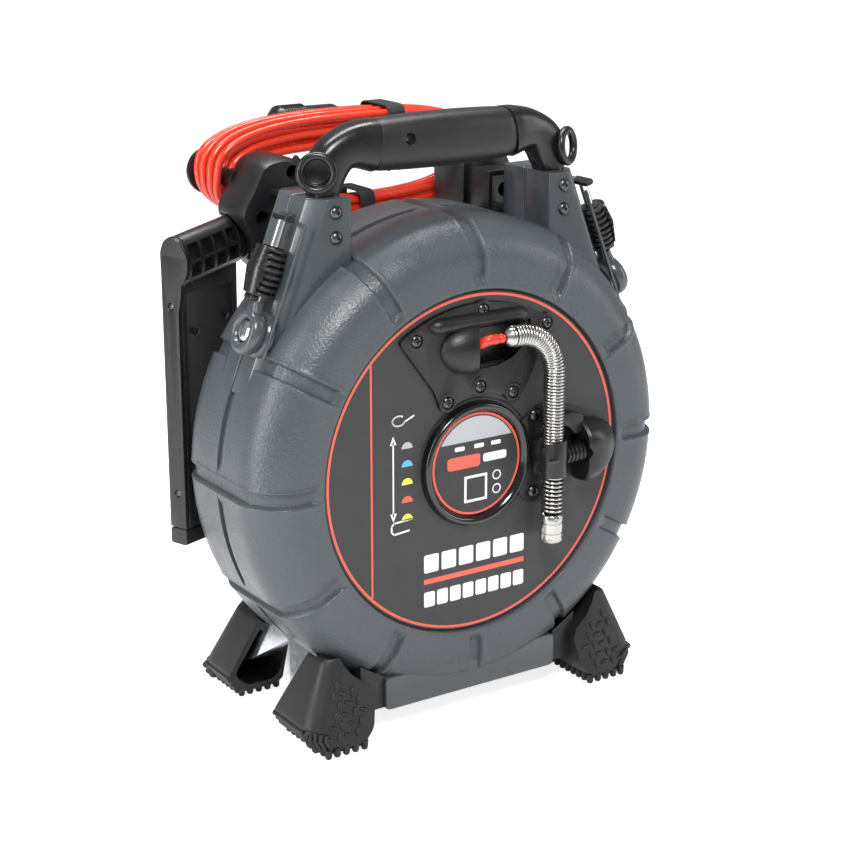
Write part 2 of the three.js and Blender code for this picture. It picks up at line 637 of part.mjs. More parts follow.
function grips() {
  const shape = outline(superEllipse(15.5, 18, 24));
  const sleeve = new THREE.ExtrudeGeometry(shape, { depth: 2 * GRIP_HALF, bevelEnabled: false });
  sleeve.applyMatrix4(new THREE.Matrix4().makeBasis(
    new THREE.Vector3(0, 1, 0), new THREE.Vector3(0, 0, 1), new THREE.Vector3(1, 0, 0)));
  sleeve.translate(-GRIP_HALF, GRIP_Y, GRIP_Z);
  const whole = cut(solid(sleeve), gripCore(100, GAP));
  const bore = gripScrewBar(0, GRIP_SCREW.seat, 3.6);
  const shank = gripScrewBar(GRIP_SCREW.seat - 1, 56, SCREW_HOLE);
  const frontSide = solid(box(-90, 90, 0, GRIP_Y - SEAM, 150, 260));
  const backSide = solid(box(-90, 90, GRIP_Y + SEAM, 100, 150, 260));
  addPart('grip_front', geometryOf(cut(whole.intersect(frontSide), bore, shank)), RUBBER);
  addPart('grip_rear', geometryOf(cut(whole.intersect(backSide), shank)), RUBBER);
  const head = gripScrewBar(GRIP_SCREW.seat - 1.9, GRIP_SCREW.seat - 0.1, 3.2);
  const stem = gripScrewBar(GRIP_SCREW.seat - 0.2, 55, 1.9);
  addPart('grip_screw', geometryOf(join(head, stem)), SCREW);
}

// Domed screws through the front of each tower into the handle's posts.
function towerScrews() {
  for (const side of [-1, 1]) {
    TOWER_SCREWS.forEach((z, k) => {
      const head = turned([[0, -2.6], [2.6, -2.1], [4.4, -0.6], [4.4, 0], [2, 0], [2, 14], [0, 14]], 10);
      head.translate(side * POST_X, TOWER_FRONT - 0.05, z);
      addPart(`tower_screw_${side < 0 ? 'left' : 'right'}_${k + 1}`, head, SCREW);
    });
  }
}

// ---------------------------------------------------------------- side latches
// Each latch lies along the leaning side of a tower. In its own frame Z runs up the rod, X points
// away from the case and the pivot is at the origin.
const LATCH = { pivotZ: 104, y: 44, length: 78, standOff: 9, eye: 10, halfThick: 5 };
const SLEEVE = { bottom: 24, bore: 3.3, ribs: 4, pitch: 8.4 };

// A round bar along the pivot's axis, and one up the rod.
const acrossLatch = (x0, x1, radius, segments = SMALL) => (
  solid(bar([x0, 0, 0], [x1, 0, 0], radius, segments)));
const upLatch = (z0, z1, radius, endRadius = radius) => (
  solid(bar([0, 0, z0], [0, 0, z1], radius, 10, endRadius)));

function latchSleeve() {
  const grip = [[SLEEVE.bore, SLEEVE.bottom]];
  for (let k = 0; k < SLEEVE.ribs; k += 1) {
    const z = SLEEVE.bottom + k * SLEEVE.pitch;
    const belly = 8.6 + 2.4 * Math.sin(Math.PI * (k + 0.5) / SLEEVE.ribs);
    grip.push([belly, z], [belly, z + SLEEVE.pitch * 0.7], [belly - 1.6, z + SLEEVE.pitch * 0.85]);
  }
  grip.push([SLEEVE.bore, SLEEVE.bottom + SLEEVE.ribs * SLEEVE.pitch], [SLEEVE.bore, SLEEVE.bottom]);
  const barrel = new THREE.LatheGeometry(grip.map(([r, z]) => new THREE.Vector2(r, z)), SMALL);
  barrel.rotateX(Math.PI / 2);
  const clearOfCase = solid(box(-LATCH.standOff + 1, 12, -20, 20, 0, 90));
  return solid(barrel).intersect(clearOfCase);
}

function latch(side) {
  const name = side < 0 ? 'left' : 'right';
  const place = new THREE.Group();
  place.position.set(side * towerOuter(LATCH.pivotZ, LATCH.standOff), LATCH.y, LATCH.pivotZ);
  place.rotation.set(0, -side * SIDE_LEAN, 0);
  const facing = new THREE.Group();
  facing.rotation.z = side < 0 ? Math.PI : 0;
  place.add(facing);
  assembly.add(place);

  const eye = acrossLatch(-LATCH.halfThick, LATCH.halfThick, LATCH.eye, 18);
  const stem = upLatch(6, LATCH.length, 3);
  const foot = upLatch(5, 20, 6, 4);
  const lip = upLatch(LATCH.length - 3, LATCH.length, 5);
  const rod = cut(join(eye, stem, foot, lip), acrossLatch(-6, 6, 4.3), acrossLatch(2.6, 6, 6.6));
  addPart(`latch_rod_${name}`, geometryOf(rod), BLACK, facing);
  addPart(`latch_grip_${name}`, geometryOf(latchSleeve()), BLACK, facing);
  const screw = join(acrossLatch(GAP - LATCH.standOff, 3, 4), acrossLatch(2.7, 4.6, 6));
  addPart(`latch_screw_${name}`, geometryOf(screw), STEEL, facing);
}

// The catch on the rear half's tower reaches forwards over the rod's upper end.
function catchPlate(side) {
  const heights = [LATCH.length + 0.6, LATCH.length + 3.6];
  const reach = box(-LATCH.standOff + GAP, 4, -1, 14, ...heights);
  const root = box(-LATCH.standOff - 2, 4, PARTING - LATCH.y + SEAM, 27, ...heights);
  const plate = join(solid(root), solid(reach));
  const geometry = geometryOf(plate);
  geometry.applyMatrix4(new THREE.Matrix4().makeScale(side, 1, 1));
  geometry.applyMatrix4(new THREE.Matrix4().makeRotationY(-side * SIDE_LEAN));
  geometry.translate(side * towerOuter(LATCH.pivotZ, LATCH.standOff), LATCH.y, LATCH.pivotZ);
  return solid(geometry);
}

// ---------------------------------------------------------------- rubber feet
const CLEAR = 0.4;                   // between the case and what is fitted over it
const LEG_FIT = 0.35;                // between a leg and the rubber round it

function foot(side, end) {
  const front = end < 0;
  const face = front ? -13 : 147;
  const inner = front ? 48 : 96;
  const inward = front ? 1 : -1;
  const shape = outline([
    [side * 69, -170], [side * 86, SOLE_Z + CLEAT], [side * 127, SOLE_Z + CLEAT], [side * 138, -171],
    [side * 138, -164], [side * 119, -118], [side * 108, -113], [side * 84, -146],
  ]);
  const profile = outline([
    [face + inward * 6, SOLE_Z + CLEAT - 1], [face, -170], [face, -160], [face + inward * 12, -112],
    [face + inward * 38, -112], [inner, -160], [inner, -171], [inner - inward * 8, SOLE_Z + CLEAT - 1],
  ]);
  let body = solid(alongY(shape, -60, 200)).intersect(solid(alongX(profile, -200, 200)));
  const cleats = [];
  const rows = 5;
  for (let k = 0; k < rows; k += 1) {
    const x = side * (90 + k * 8.5);
    const y = [face + inward * 6, inner - inward * 9].sort((a, b) => a - b);
    cleats.push(solid(box(x - 2.6, x + 2.6, ...y, SOLE_Z, SOLE_Z + CLEAT + 1)));
  }
  body = join(body, ...cleats);
  const legRoom = solid(alongY(legShape(side, LEG_FIT), LEG_ENDS[0] - LEG_FIT, LEG_ENDS[1] + LEG_FIT));
  const base = solid(box(-BASE_HALF - CLEAR, BASE_HALF + CLEAR, 2 - CLEAR, BACK_Y - 5 + CLEAR,
    BASE_Z - CLEAR, -100));
  body = cut(body, legRoom, caseClearance(CLEAR), base);
  const name = `foot_${front ? 'front' : 'rear'}_${side < 0 ? 'left' : 'right'}`;
  addPart(name, geometryOf(body), RUBBER);
}

// ---------------------------------------------------------------- monitor dock
const HORN = { x: 98, z: 183, radius: 8, end: 188 };
const BLOCK_BACK = BACK_Y + 30;

// The dock tips up about its barrel, which runs on a collar at the left bracket. In the dock's
// own frame X runs from the collar to the free end, Y points to the case and Z is up.
const DOCK = { x: -107, y: 133, z: 146, width: 62, back: -13.6, front: 1, drop: 207 };
const HOOD = [11.6, 17];             // half depth and half height of the dock's barrel
const dockSlope = new THREE.Matrix4().makeRotationY(DOCK_RISE);

// A round bar on the barrel's axis.
function dockBar(x0, x1, radius, segments = SMALL) {
  return bar([x0, -2, 0], [x1, -2, 0], radius, segments);
}

// Carries a shape from the barrel's own frame to the case frame.
function onDockAxis(geometry) {
  geometry.applyMatrix4(dockSlope);
  geometry.applyMatrix4(new THREE.Matrix4().makeRotationZ(Math.PI + DOCK_YAW));
  geometry.translate(DOCK.x, DOCK.y, DOCK.z);
  return geometry;
}

// A bracket block behind each tower, with a horn that the system cable is wound round.
function dockBracket(side) {
  const name = side < 0 ? 'left' : 'right';
  const shape = outline([
    [side * 62, 128], [side * 62, 190], [side * 70, 200], [side * 84, 203], [side * 100, 200],
    [side * 107, 184], [side * 119, 166], [side * 114, 158], [side * 98, 122],
  ]);
  const block = solid(alongY(shape, BACK_Y - 8, BLOCK_BACK));
  const barrelRoom = onDockAxis(dockBar(-2 - GAP, 90, HOOD[1] + 1.5, 24));
  const tie = solid(box(...ordered(side * 66, side * 96), TOWER_BACK + GAP, BACK_Y,
    148, TOWER_TOP - 4));
  const horn = solid(bar([side * HORN.x, BLOCK_BACK - 10, HORN.z], [side * HORN.x, HORN.end, HORN.z],
    HORN.radius, 20));
  const screwHoles = [[76, 192], [100, 162]].map(([x, z]) => solid(
    bar([side * x, TOWER_BACK, z], [side * x, BACK_Y + 14, z], 4.5)));
  const body = cut(join(block, tie, horn), caseClearance(CLEAR), solid(barrelRoom), ...screwHoles);
  addPart(`dock_bracket_${name}`, geometryOf(body), BLACK);
  const flange = turned([[0, 0], [16.8, 0], [16.8, 4], [13, 2.5], [0, 2.5]], 20);
  flange.translate(side * HORN.x, HORN.end + 0.05, HORN.z);
  addPart(`cable_flange_${name}`, flange, BLACK);
}

function dock() {
  const place = new THREE.Group();
  place.position.set(DOCK.x, DOCK.y, DOCK.z);
  place.rotation.z = Math.PI + DOCK_YAW;
  assembly.add(place);

  const collar = join(solid(dockBar(-2, 2.5, 16, 24)), solid(dockBar(2, DOCK.width - 4, 4)));
  addPart('dock_collar', geometryOf(collar).applyMatrix4(dockSlope), BLACK, place);

  const hood = new THREE.Shape();
  hood.absellipse(-2, 0, ...HOOD, 0, 2 * Math.PI);
  const barrel = alongX(hood, 3, DOCK.width, 8).applyMatrix4(dockSlope);
  const bore = dockBar(0, DOCK.width - 3.6, 4.5).applyMatrix4(dockSlope);
  const windows = [];
  for (let k = 0; k < 4; k += 1) {
    const x = 9 + k * 12.5;
    windows.push(box(x, x + 10, 3.2, 20, -10.5, -1), box(x, x + 10, 3.2, 20, 0.5, 10.5));
  }
  const capTop = 12 - DOCK.drop;
  const slab = box(3, DOCK.width, DOCK.back, DOCK.front, capTop, -6);
  const recess = box(8, DOCK.width - 5, DOCK.back + 3, DOCK.front + 5, capTop + 6, -30);
  const body = cut(join(solid(barrel), cut(solid(slab), solid(recess))), solid(bore),
    ...windows.map((w) => solid(w.applyMatrix4(dockSlope))));
  addPart('dock_plate', geometryOf(body), BLACK, place);
  const cap = box(3, DOCK.width, DOCK.back, DOCK.front, -DOCK.drop, capTop - 0.02);
  addPart('dock_end_cap', cap, BLACK, place);
  for (const [name, top] of [['dock_hook_upper', -76], ['dock_hook_lower', -120]]) {
    const [root, crest] = [DOCK.back - 0.02, DOCK.back - 7];
    const profile = outline([[root, top], [crest, top - 6], [crest, top - 34], [root, top - 41]]);
    addPart(name, alongX(profile, 12, DOCK.width - 9), BLACK, place);
  }
}

// ---------------------------------------------------------------- system cable
const COIL = { z: 184, y0: BLOCK_BACK + 2, y1: HORN.end - 2, outer: [122, 38], inner: [108, 20] };

// The cable that plugs into the monitor, wound round the two horns.
function systemCable() {
  const loop = (halfX, halfZ) => outline(superEllipse(halfX, halfZ, 24, 0.55));
  const shape = loop(...COIL.outer);
  shape.holes.push(new THREE.Path(loop(...COIL.inner).getPoints()));
  const coil = alongY(shape, COIL.y0, COIL.y1);
  coil.translate(0, 0, COIL.z);
  addPart('system_cable', coil, CABLE);
  const profile = [[0, -44], [10, -44], [13.5, -40], [13.5, -22], [11.5, -20], [11.5, 8],
    [9, 12], [6.5, 34], [4.5, 36], [0, 36]];
  const plug = new THREE.LatheGeometry(profile.map(([r, x]) => new THREE.Vector2(r, x)), 14);
  plug.rotateZ(-Math.PI / 2);
  plug.translate(4, COIL.y1 + 14.2, 209);
  addPart('cable_plug', plug, BLACK);
}

// A hook-and-loop strap round the coil's upper run, and a tie round its lower run.
function cableStraps() {
  const thick = 1.6;
  const wrap = (x0, x1, z0, z1) => {
    const around = solid(box(x0, x1, COIL.y0 - thick - GAP, COIL.y1 + GAP, z0 - thick, z1 + thick));
    const inside = solid(box(x0 - 1, x1 + 1, COIL.y0 - GAP, COIL.y1 + 20, z0, z1));
    return geometryOf(cut(around, inside));
  };
  const top = [COIL.z + COIL.inner[1] - GAP, COIL.z + COIL.outer[1] + GAP];
  const low = [COIL.z - COIL.outer[1] - GAP, COIL.z - COIL.inner[1] + GAP];
  addPart('cable_strap', wrap(26, 40, ...top), BLACK);
  addPart('cable_tie', wrap(2, 14, ...low), BLACK);
}

// ---------------------------------------------------------------- assembly
frontCase();
rearCase();
hingePin();
frontPlate();
guideCover();
hub();
clipBracket();
cameraClip();
cameraHead();
flexSpring();
ferruleAndCable();
drumParts();
handleFrame();
grips();
towerScrews();
for (const side of [-1, 1]) {
  latch(side);
  for (const end of [-1, 1]) foot(side, end);
  dockBracket(side);
}
dock();
systemCable();
cableStraps();

// Stand the object on Z = 0 with its footprint's centre at the origin.
assembly.updateMatrixWorld(true);
const extent = new THREE.Box3().setFromObject(assembly, true);
const centre = extent.getCenter(new THREE.Vector3());
assembly.position.set(-centre.x, -centre.y, AXIS_HEIGHT);

export default assembly;
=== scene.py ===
import json
import math
import random

import bmesh
import bpy
from mathutils import Matrix, Vector


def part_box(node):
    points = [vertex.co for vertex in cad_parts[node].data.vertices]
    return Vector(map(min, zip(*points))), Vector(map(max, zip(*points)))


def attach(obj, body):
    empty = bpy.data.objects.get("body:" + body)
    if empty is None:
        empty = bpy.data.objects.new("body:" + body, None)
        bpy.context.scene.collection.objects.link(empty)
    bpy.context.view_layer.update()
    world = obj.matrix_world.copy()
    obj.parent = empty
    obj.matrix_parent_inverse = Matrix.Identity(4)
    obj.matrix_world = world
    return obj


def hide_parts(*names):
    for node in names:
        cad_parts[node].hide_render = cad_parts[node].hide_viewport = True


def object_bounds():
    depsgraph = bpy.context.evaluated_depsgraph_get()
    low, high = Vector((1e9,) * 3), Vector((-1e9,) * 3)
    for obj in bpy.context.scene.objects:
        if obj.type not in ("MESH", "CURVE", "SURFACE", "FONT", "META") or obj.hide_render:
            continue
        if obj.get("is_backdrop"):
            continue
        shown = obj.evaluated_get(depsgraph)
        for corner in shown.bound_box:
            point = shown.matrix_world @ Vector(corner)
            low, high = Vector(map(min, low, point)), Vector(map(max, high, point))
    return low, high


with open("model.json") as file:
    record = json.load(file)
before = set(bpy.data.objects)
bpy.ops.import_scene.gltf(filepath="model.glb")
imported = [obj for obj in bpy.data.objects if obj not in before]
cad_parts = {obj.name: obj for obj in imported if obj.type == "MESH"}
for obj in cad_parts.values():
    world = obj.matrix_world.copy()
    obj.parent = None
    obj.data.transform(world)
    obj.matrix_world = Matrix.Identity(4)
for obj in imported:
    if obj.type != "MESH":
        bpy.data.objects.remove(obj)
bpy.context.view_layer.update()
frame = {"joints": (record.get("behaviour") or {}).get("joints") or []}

# Drain inspection camera: the looks of the drum reel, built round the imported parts.
# Shapes are written in millimetres in the case frame: X to the right, Y to the back, Z up, with
# its origin where the drum's axis meets the label plate. to_world() carries them to the row frame.

MM = 0.001
PLATE_LOW, PLATE_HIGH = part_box("front_plate")
ORIGIN = Vector(((PLATE_LOW.x + PLATE_HIGH.x) / 2, PLATE_LOW.y, (PLATE_LOW.z + PLATE_HIGH.z) / 2))


def to_world(point):
    return ORIGIN + Vector(point) * MM


def case_box(node):
    """A CAD node's lowest and highest corners, in case-frame millimetres."""
    low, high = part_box(node)
    return (low - ORIGIN) / MM, (high - ORIGIN) / MM


def middle(node):
    low, high = case_box(node)
    return (low + high) / 2


# ---------------------------------------------------------------- driving dimensions
PLATE_R = (PLATE_HIGH.x - PLATE_LOW.x) / 2 / MM
FACE_Y = -3.0
BACK_Y = 117.0
PARTING = 57.0
CASE_R = 168.0
BORE_R = 164.0
FACE_R = 151.0
CORNER = 20.0
GROOVES = 12
GROOVE_HALF = 5.4
GROOVE_DEPTH = 3.2
LEAN = math.radians(21.5)
TOWER_INNER = 80.0
TOWER_TOP = 187.0
TOWER_FRONT = 27.0
TOWER_BACK = 82.0
POST_X = 92.0
SOLE_Z = -184.0
BASE_HALF = 72.0
BASE_Z = -167.0
SPRING = middle("camera_head")
SPRING_X, SPRING_Y = SPRING.x, SPRING.y
SPRING_R = 7.6
SEAM = 0.15

random.seed(7)


# ---------------------------------------------------------------- materials
def new_material(name, color, roughness, metallic=0.0, coat=0.0):
    material = bpy.data.materials.new(name)
    material.use_nodes = True
    shader = material.node_tree.nodes["Principled BSDF"]
    shader.inputs["Base Color"].default_value = (*color, 1)
    shader.inputs["Roughness"].default_value = roughness
    shader.inputs["Metallic"].default_value = metallic
    shader.inputs["Coat Weight"].default_value = coat
    return material


def noise(material, scale, detail=2.0):
    nodes = material.node_tree.nodes
    place = nodes.new("ShaderNodeTexCoord")
    texture = nodes.new("ShaderNodeTexNoise")
    texture.inputs["Scale"].default_value = scale
    texture.inputs["Detail"].default_value = detail
    material.node_tree.links.new(place.outputs["Object"], texture.inputs["Vector"])
    return texture.outputs["Fac"]


def vary(material, socket, factor, low, high):
    """Drives a shader value from a noise, between low and high."""
    nodes = material.node_tree.nodes
    ramp = nodes.new("ShaderNodeMapRange")
    ramp.inputs["From Min"].default_value = 0.3
    ramp.inputs["From Max"].default_value = 0.7
    ramp.inputs["To Min"].default_value = low
    ramp.inputs["To Max"].default_value = high
    material.node_tree.links.new(factor, ramp.inputs["Value"])
    material.node_tree.links.new(ramp.outputs["Result"], nodes["Principled BSDF"].inputs[socket])


def tint(material, factor, low, high):
    """Base colour that drifts between two colours."""
    nodes = material.node_tree.nodes
    mix = nodes.new("ShaderNodeMix")
    mix.data_type = "RGBA"
    mix.inputs["A"].default_value = (*low, 1)
    mix.inputs["B"].default_value = (*high, 1)
    material.node_tree.links.new(factor, mix.inputs["Factor"])
    material.node_tree.links.new(mix.outputs["Result"], nodes["Principled BSDF"].inputs["Base Color"])


def bump(material, factor, strength, distance):
    nodes = material.node_tree.nodes
    node = nodes.new("ShaderNodeBump")
    node.inputs["Strength"].default_value = strength
    node.inputs["Distance"].default_value = distance
    material.node_tree.links.new(factor, node.inputs["Height"])
    material.node_tree.links.new(node.outputs["Normal"], nodes["Principled BSDF"].inputs["Normal"])


def scaled(color, factor):
    return tuple(channel * factor for channel in color)


def moulded(name, color, roughness, grain_scale, grain, spread=0.06, coat=0.0):
    """Moulded plastic or rubber: fine grain, a slow drift of tone, and uneven sheen."""
    material = new_material(name, color, roughness, coat=coat)
    tint(material, noise(material, 14, 4), scaled(color, 0.88), scaled(color, 1.12))
    vary(material, "Roughness", noise(material, 60, 5), roughness - spread, roughness + spread)
    bump(material, noise(material, grain_scale, 3), grain, 0.0004)
    return material


def metal(name, color, roughness, spread=0.05, scratch=0.05):
    material = new_material(name, color, roughness, metallic=1.0)
    vary(material, "Roughness", noise(material, 260, 4), roughness - spread, roughness + spread)
    bump(material, noise(material, 900, 3), scratch, 0.0002)
    return material


CASE_GREY = (0.060, 0.070, 0.079)
SHELL = moulded("case_shell", CASE_GREY, 0.31, 640, 1.0)
SHELL_SMOOTH = moulded("case_smooth", scaled(CASE_GREY, 0.92), 0.24, 500, 0.05, 0.04, coat=0.25)
PLATE = moulded("label_plate", (0.027, 0.027, 0.029), 0.50, 1200, 0.12)
BLACK = moulded("black_plastic", (0.008, 0.008, 0.009), 0.38, 900, 0.30)
BLACK_SMOOTH = moulded("black_smooth", (0.007, 0.007, 0.008), 0.28, 700, 0.06)
GLOSS = moulded("gloss_black", (0.005, 0.005, 0.006), 0.14, 200, 0.01, 0.03, coat=0.5)
RUBBER = moulded("foot_rubber", (0.009, 0.009, 0.0095), 0.50, 700, 0.35)
SOFT = moulded("soft_grip", (0.011, 0.011, 0.012), 0.40, 1100, 0.35)
ORANGE = moulded("orange_cable", (0.66, 0.036, 0.012), 0.24, 300, 0.03, 0.05, coat=0.3)
DRUM = moulded("drum_plastic", (0.045, 0.045, 0.048), 0.5, 600, 0.2)
STEEL = metal("bright_steel", (0.50, 0.49, 0.465), 0.24)
PLAIN_STEEL = metal("plain_steel", (0.5, 0.5, 0.5), 0.32)
CHROME = metal("chrome_screw", (0.78, 0.78, 0.78), 0.12, 0.03)
ALLOY = metal("leg_alloy", (0.62, 0.64, 0.67), 0.18, 0.08, 0.12)
SCREW = metal("dark_screw", (0.10, 0.10, 0.105), 0.28)
BRASS = metal("brass_fitting", (0.45, 0.28, 0.09), 0.3)
GLASS = new_material("lens_glass", (0.02, 0.03, 0.04), 0.03, coat=1.0)
FABRIC = moulded("strap_fabric", (0.018, 0.018, 0.02), 0.85, 1500, 0.8)


def ink(name, color):
    material = moulded("ink_" + name, color, 0.42, 900, 0.06)
    return material


RED = ink("red", (0.79, 0.115, 0.07))
WHITE = ink("white", (0.82, 0.82, 0.80))
YELLOW = ink("yellow", (0.86, 0.78, 0.06))
BLUE = ink("blue", (0.10, 0.45, 0.75))
SILVER = ink("silver", (0.42, 0.44, 0.46))
GREEN = ink("green", (0.10, 0.55, 0.16))


# ---------------------------------------------------------------- shapes: (points, faces)
def join(*shapes):
    points, faces = [], []
    for shape_points, shape_faces in shapes:
        base = len(points)
        points += [Vector(p) for p in shape_points]
        faces += [[i + base for i in face] for face in shape_faces]
    return points, faces


def moved(shape, matrix):
    return [matrix @ Vector(p) for p in shape[0]], shape[1]


def shifted(shape, x=0, y=0, z=0):
    return moved(shape, Matrix.Translation((x, y, z)))


def mirrored(shape, side):
    """The shape as it is, or its mirror image in X for the left side."""
    if side > 0:
        return shape
    return [Vector((-p[0], p[1], p[2])) for p in shape[0]], [list(reversed(f)) for f in shape[1]]


def fillet(points, radius, steps=4, closed=False):
    """Rounds the corners of a 2D polyline with short arcs. radius is one number or one for each point."""
    count = len(points)
    result = []
    for i, corner in enumerate(points):
        r = radius[i] if isinstance(radius, (list, tuple)) else radius
        if r <= 0 or (not closed and i in (0, count - 1)):
            result.append(tuple(corner))
            continue
        here = Vector(corner)
        before = Vector(points[i - 1]) - here
        after = Vector(points[(i + 1) % count]) - here
        reach = min(r, before.length * 0.45, after.length * 0.45)
        start = here + before.normalized() * reach
        end = here + after.normalized() * reach
        for k in range(steps + 1):
            t = k / steps
            spot = start * (1 - t) ** 2 + here * 2 * t * (1 - t) + end * t ** 2
            result.append((spot.x, spot.y))
    return result


def loft(sections, cap=True, loop=False):
    """Skins equal-length closed sections. loop joins the last section to the first."""
    size = len(sections[0])
    points = [Vector(p) for section in sections for p in section]
    faces = []
    rows = len(sections)
    for row in range(rows if loop else rows - 1):
        a, b = row * size, ((row + 1) % rows) * size
        for k in range(size):
            n = (k + 1) % size
            faces.append([a + k, a + n, b + n, b + k])
    if cap and not loop:
        faces.append(list(range(size - 1, -1, -1)))
        faces.append(list(range((rows - 1) * size, rows * size)))
    return points, faces


def prism_y(outline, y0, y1):
    """A front-view outline in X and Z, run from y0 to y1."""
    return loft([[(x, y, z) for x, z in outline] for y in (y0, y1)])


def prism_x(outline, x0, x1):
    """A side-view outline in Y and Z, run from x0 to x1."""
    return loft([[(x, y, z) for y, z in outline] for x in (x0, x1)])


def block(x0, x1, y0, y1, z0, z1):
    return prism_y([(x0, z0), (x1, z0), (x1, z1), (x0, z1)], y0, y1)


def lathe(profile, segments=48, closed=True):
    """Turns (radius, along) points round the Z axis. A profile that isn't closed starts and ends on the axis."""
    points, faces, rings = [], [], []
    for radius, along in profile:
        if radius < 1e-6:
            rings.append([len(points)])
            points.append(Vector((0, 0, along)))
            continue
        rings.append(list(range(len(points), len(points) + segments)))
        for k in range(segments):
            angle = 2 * math.pi * k / segments
            points.append(Vector((radius * math.cos(angle), radius * math.sin(angle), along)))
    pairs = list(zip(rings, rings[1:]))
    if closed and len(rings[0]) > 1 and len(rings[-1]) > 1:
        pairs.append((rings[-1], rings[0]))
    for a, b in pairs:
        for k in range(segments):
            n = (k + 1) % segments
            if len(a) == 1 and len(b) > 1:
                faces.append([a[0], b[k], b[n]])
            elif len(b) == 1 and len(a) > 1:
                faces.append([a[n], a[k], b[0]])
            elif len(a) > 1:
                faces.append([a[k], b[k], b[n], a[n]])
    return points, faces


def aimed(shape, centre, axis):
    """Turns a shape's Z axis to the given axis and puts its origin at centre."""
    turn = Vector((0, 0, 1)).rotation_difference(Vector(axis).normalized()).to_matrix().to_4x4()
    return moved(shape, Matrix.Translation(Vector(centre)) @ turn)


def turned(profile, centre=(0, 0, 0), segments=48, axis=(0, 1, 0)):
    return aimed(lathe(profile, segments), centre, axis)


def rod(start, end, radius, segments=24, edge=0.6):
    """A round bar with softened ends."""
    start, end = Vector(start), Vector(end)
    length = (end - start).length
    edge = min(edge, radius * 0.5, length * 0.4)
    profile = [(0, 0), (radius - edge, 0), (radius - edge * 0.3, edge * 0.3), (radius, edge),
               (radius, length - edge), (radius - edge * 0.3, length - edge * 0.3), (radius - edge, length), (0, length)]
    return aimed(lathe(profile, segments), start, end - start)


def super_section(half_u, half_v, count=28, power=0.75):
    points = []
    for k in range(count):
        angle = 2 * math.pi * k / count
        c, s = math.cos(angle), math.sin(angle)
        points.append((half_u * math.copysign(abs(c) ** power, c), half_v * math.copysign(abs(s) ** power, s)))
    return points


def frames(path, loop=False):
    """Tangent, side and up vectors along a path, without twist."""
    count = len(path)
    result = []
    up = None
    for i in range(count):
        if loop:
            tangent = path[(i + 1) % count] - path[i - 1]
        else:
            tangent = path[min(i + 1, count - 1)] - path[max(i - 1, 0)]
        tangent.normalize()
        if up is None:
            up = Vector((0, 1, 0)) if abs(tangent.y) < 0.9 else Vector((1, 0, 0))
        side = tangent.cross(up).normalized()
        up = side.cross(tangent).normalized()
        result.append((tangent, side, up))
    return result


def sweep(path, section_at, loop=False):
    """Carries a 2D section along a path. section_at(t) gives its points at t from 0 to 1."""
    path = [Vector(p) for p in path]
    sections = []
    for i, (tangent, side, up) in enumerate(frames(path, loop)):
        t = i / (len(path) - 1)
        sections.append([path[i] + side * u + up * v for u, v in section_at(t)])
    return loft(sections, loop=loop)


def tube(path, radius, segments=12, loop=False):
    circle = super_section(radius, radius, segments, 1.0)
    return sweep(path, lambda t: circle, loop)


def spline(points, steps=8):
    """A smooth Catmull-Rom curve through the points."""
    points = [Vector(p) for p in points]
    ends = [points[0] * 2 - points[1]] + points + [points[-1] * 2 - points[-2]]
    result = []
    for i in range(1, len(ends) - 2):
        a, b, c, d = ends[i - 1:i + 3]
        for k in range(steps):
            t = k / steps
            result.append(0.5 * ((2 * b) + (c - a) * t + (2 * a - 5 * b + 4 * c - d) * t * t
                                 + (3 * b - a - 3 * c + d) * t ** 3))
    result.append(points[-1])
    return result


def ball(centre, radii, columns=32, rows=16):
    profile = [(math.sin(math.pi * k / rows), -math.cos(math.pi * k / rows)) for k in range(rows + 1)]
    profile[0] = (0, -1)
    profile[-1] = (0, 1)
    grow = Matrix.Diagonal((*radii, 1))
    return moved(lathe(profile, columns, closed=False), Matrix.Translation(Vector(centre)) @ grow)


def polar(radius, degrees):
    angle = math.radians(degrees)
    return radius * math.cos(angle), radius * math.sin(angle)


# ---------------------------------------------------------------- pieces
def temporary(shape, name="cutter"):
    mesh = bpy.data.meshes.new(name)
    mesh.from_pydata([to_world(p) for p in shape[0]], [], shape[1])
    bm = bmesh.new()
    bm.from_mesh(mesh)
    bmesh.ops.remove_doubles(bm, verts=bm.verts, dist=1e-7)
    bmesh.ops.recalc_face_normals(bm, faces=bm.faces)
    bm.to_mesh(mesh)
    bm.free()
    obj = bpy.data.objects.new(name, mesh)
    bpy.context.scene.collection.objects.link(obj)
    return obj


def applied(obj):
    """The object's mesh with its modifiers applied."""
    graph = bpy.context.evaluated_depsgraph_get()
    mesh = bpy.data.meshes.new_from_object(obj.evaluated_get(graph))
    obj.modifiers.clear()
    obj.data = mesh
    return mesh


def mark_edges(mesh, degrees):
    """Smooth shading, with edges sharper than the angle kept crisp."""
    bm = bmesh.new()
    bm.from_mesh(mesh)
    for face in bm.faces:
        face.smooth = True
    for edge in bm.edges:
        if len(edge.link_faces) == 2:
            edge.smooth = edge.calc_face_angle(0) < math.radians(degrees)
    bm.to_mesh(mesh)
    bm.free()


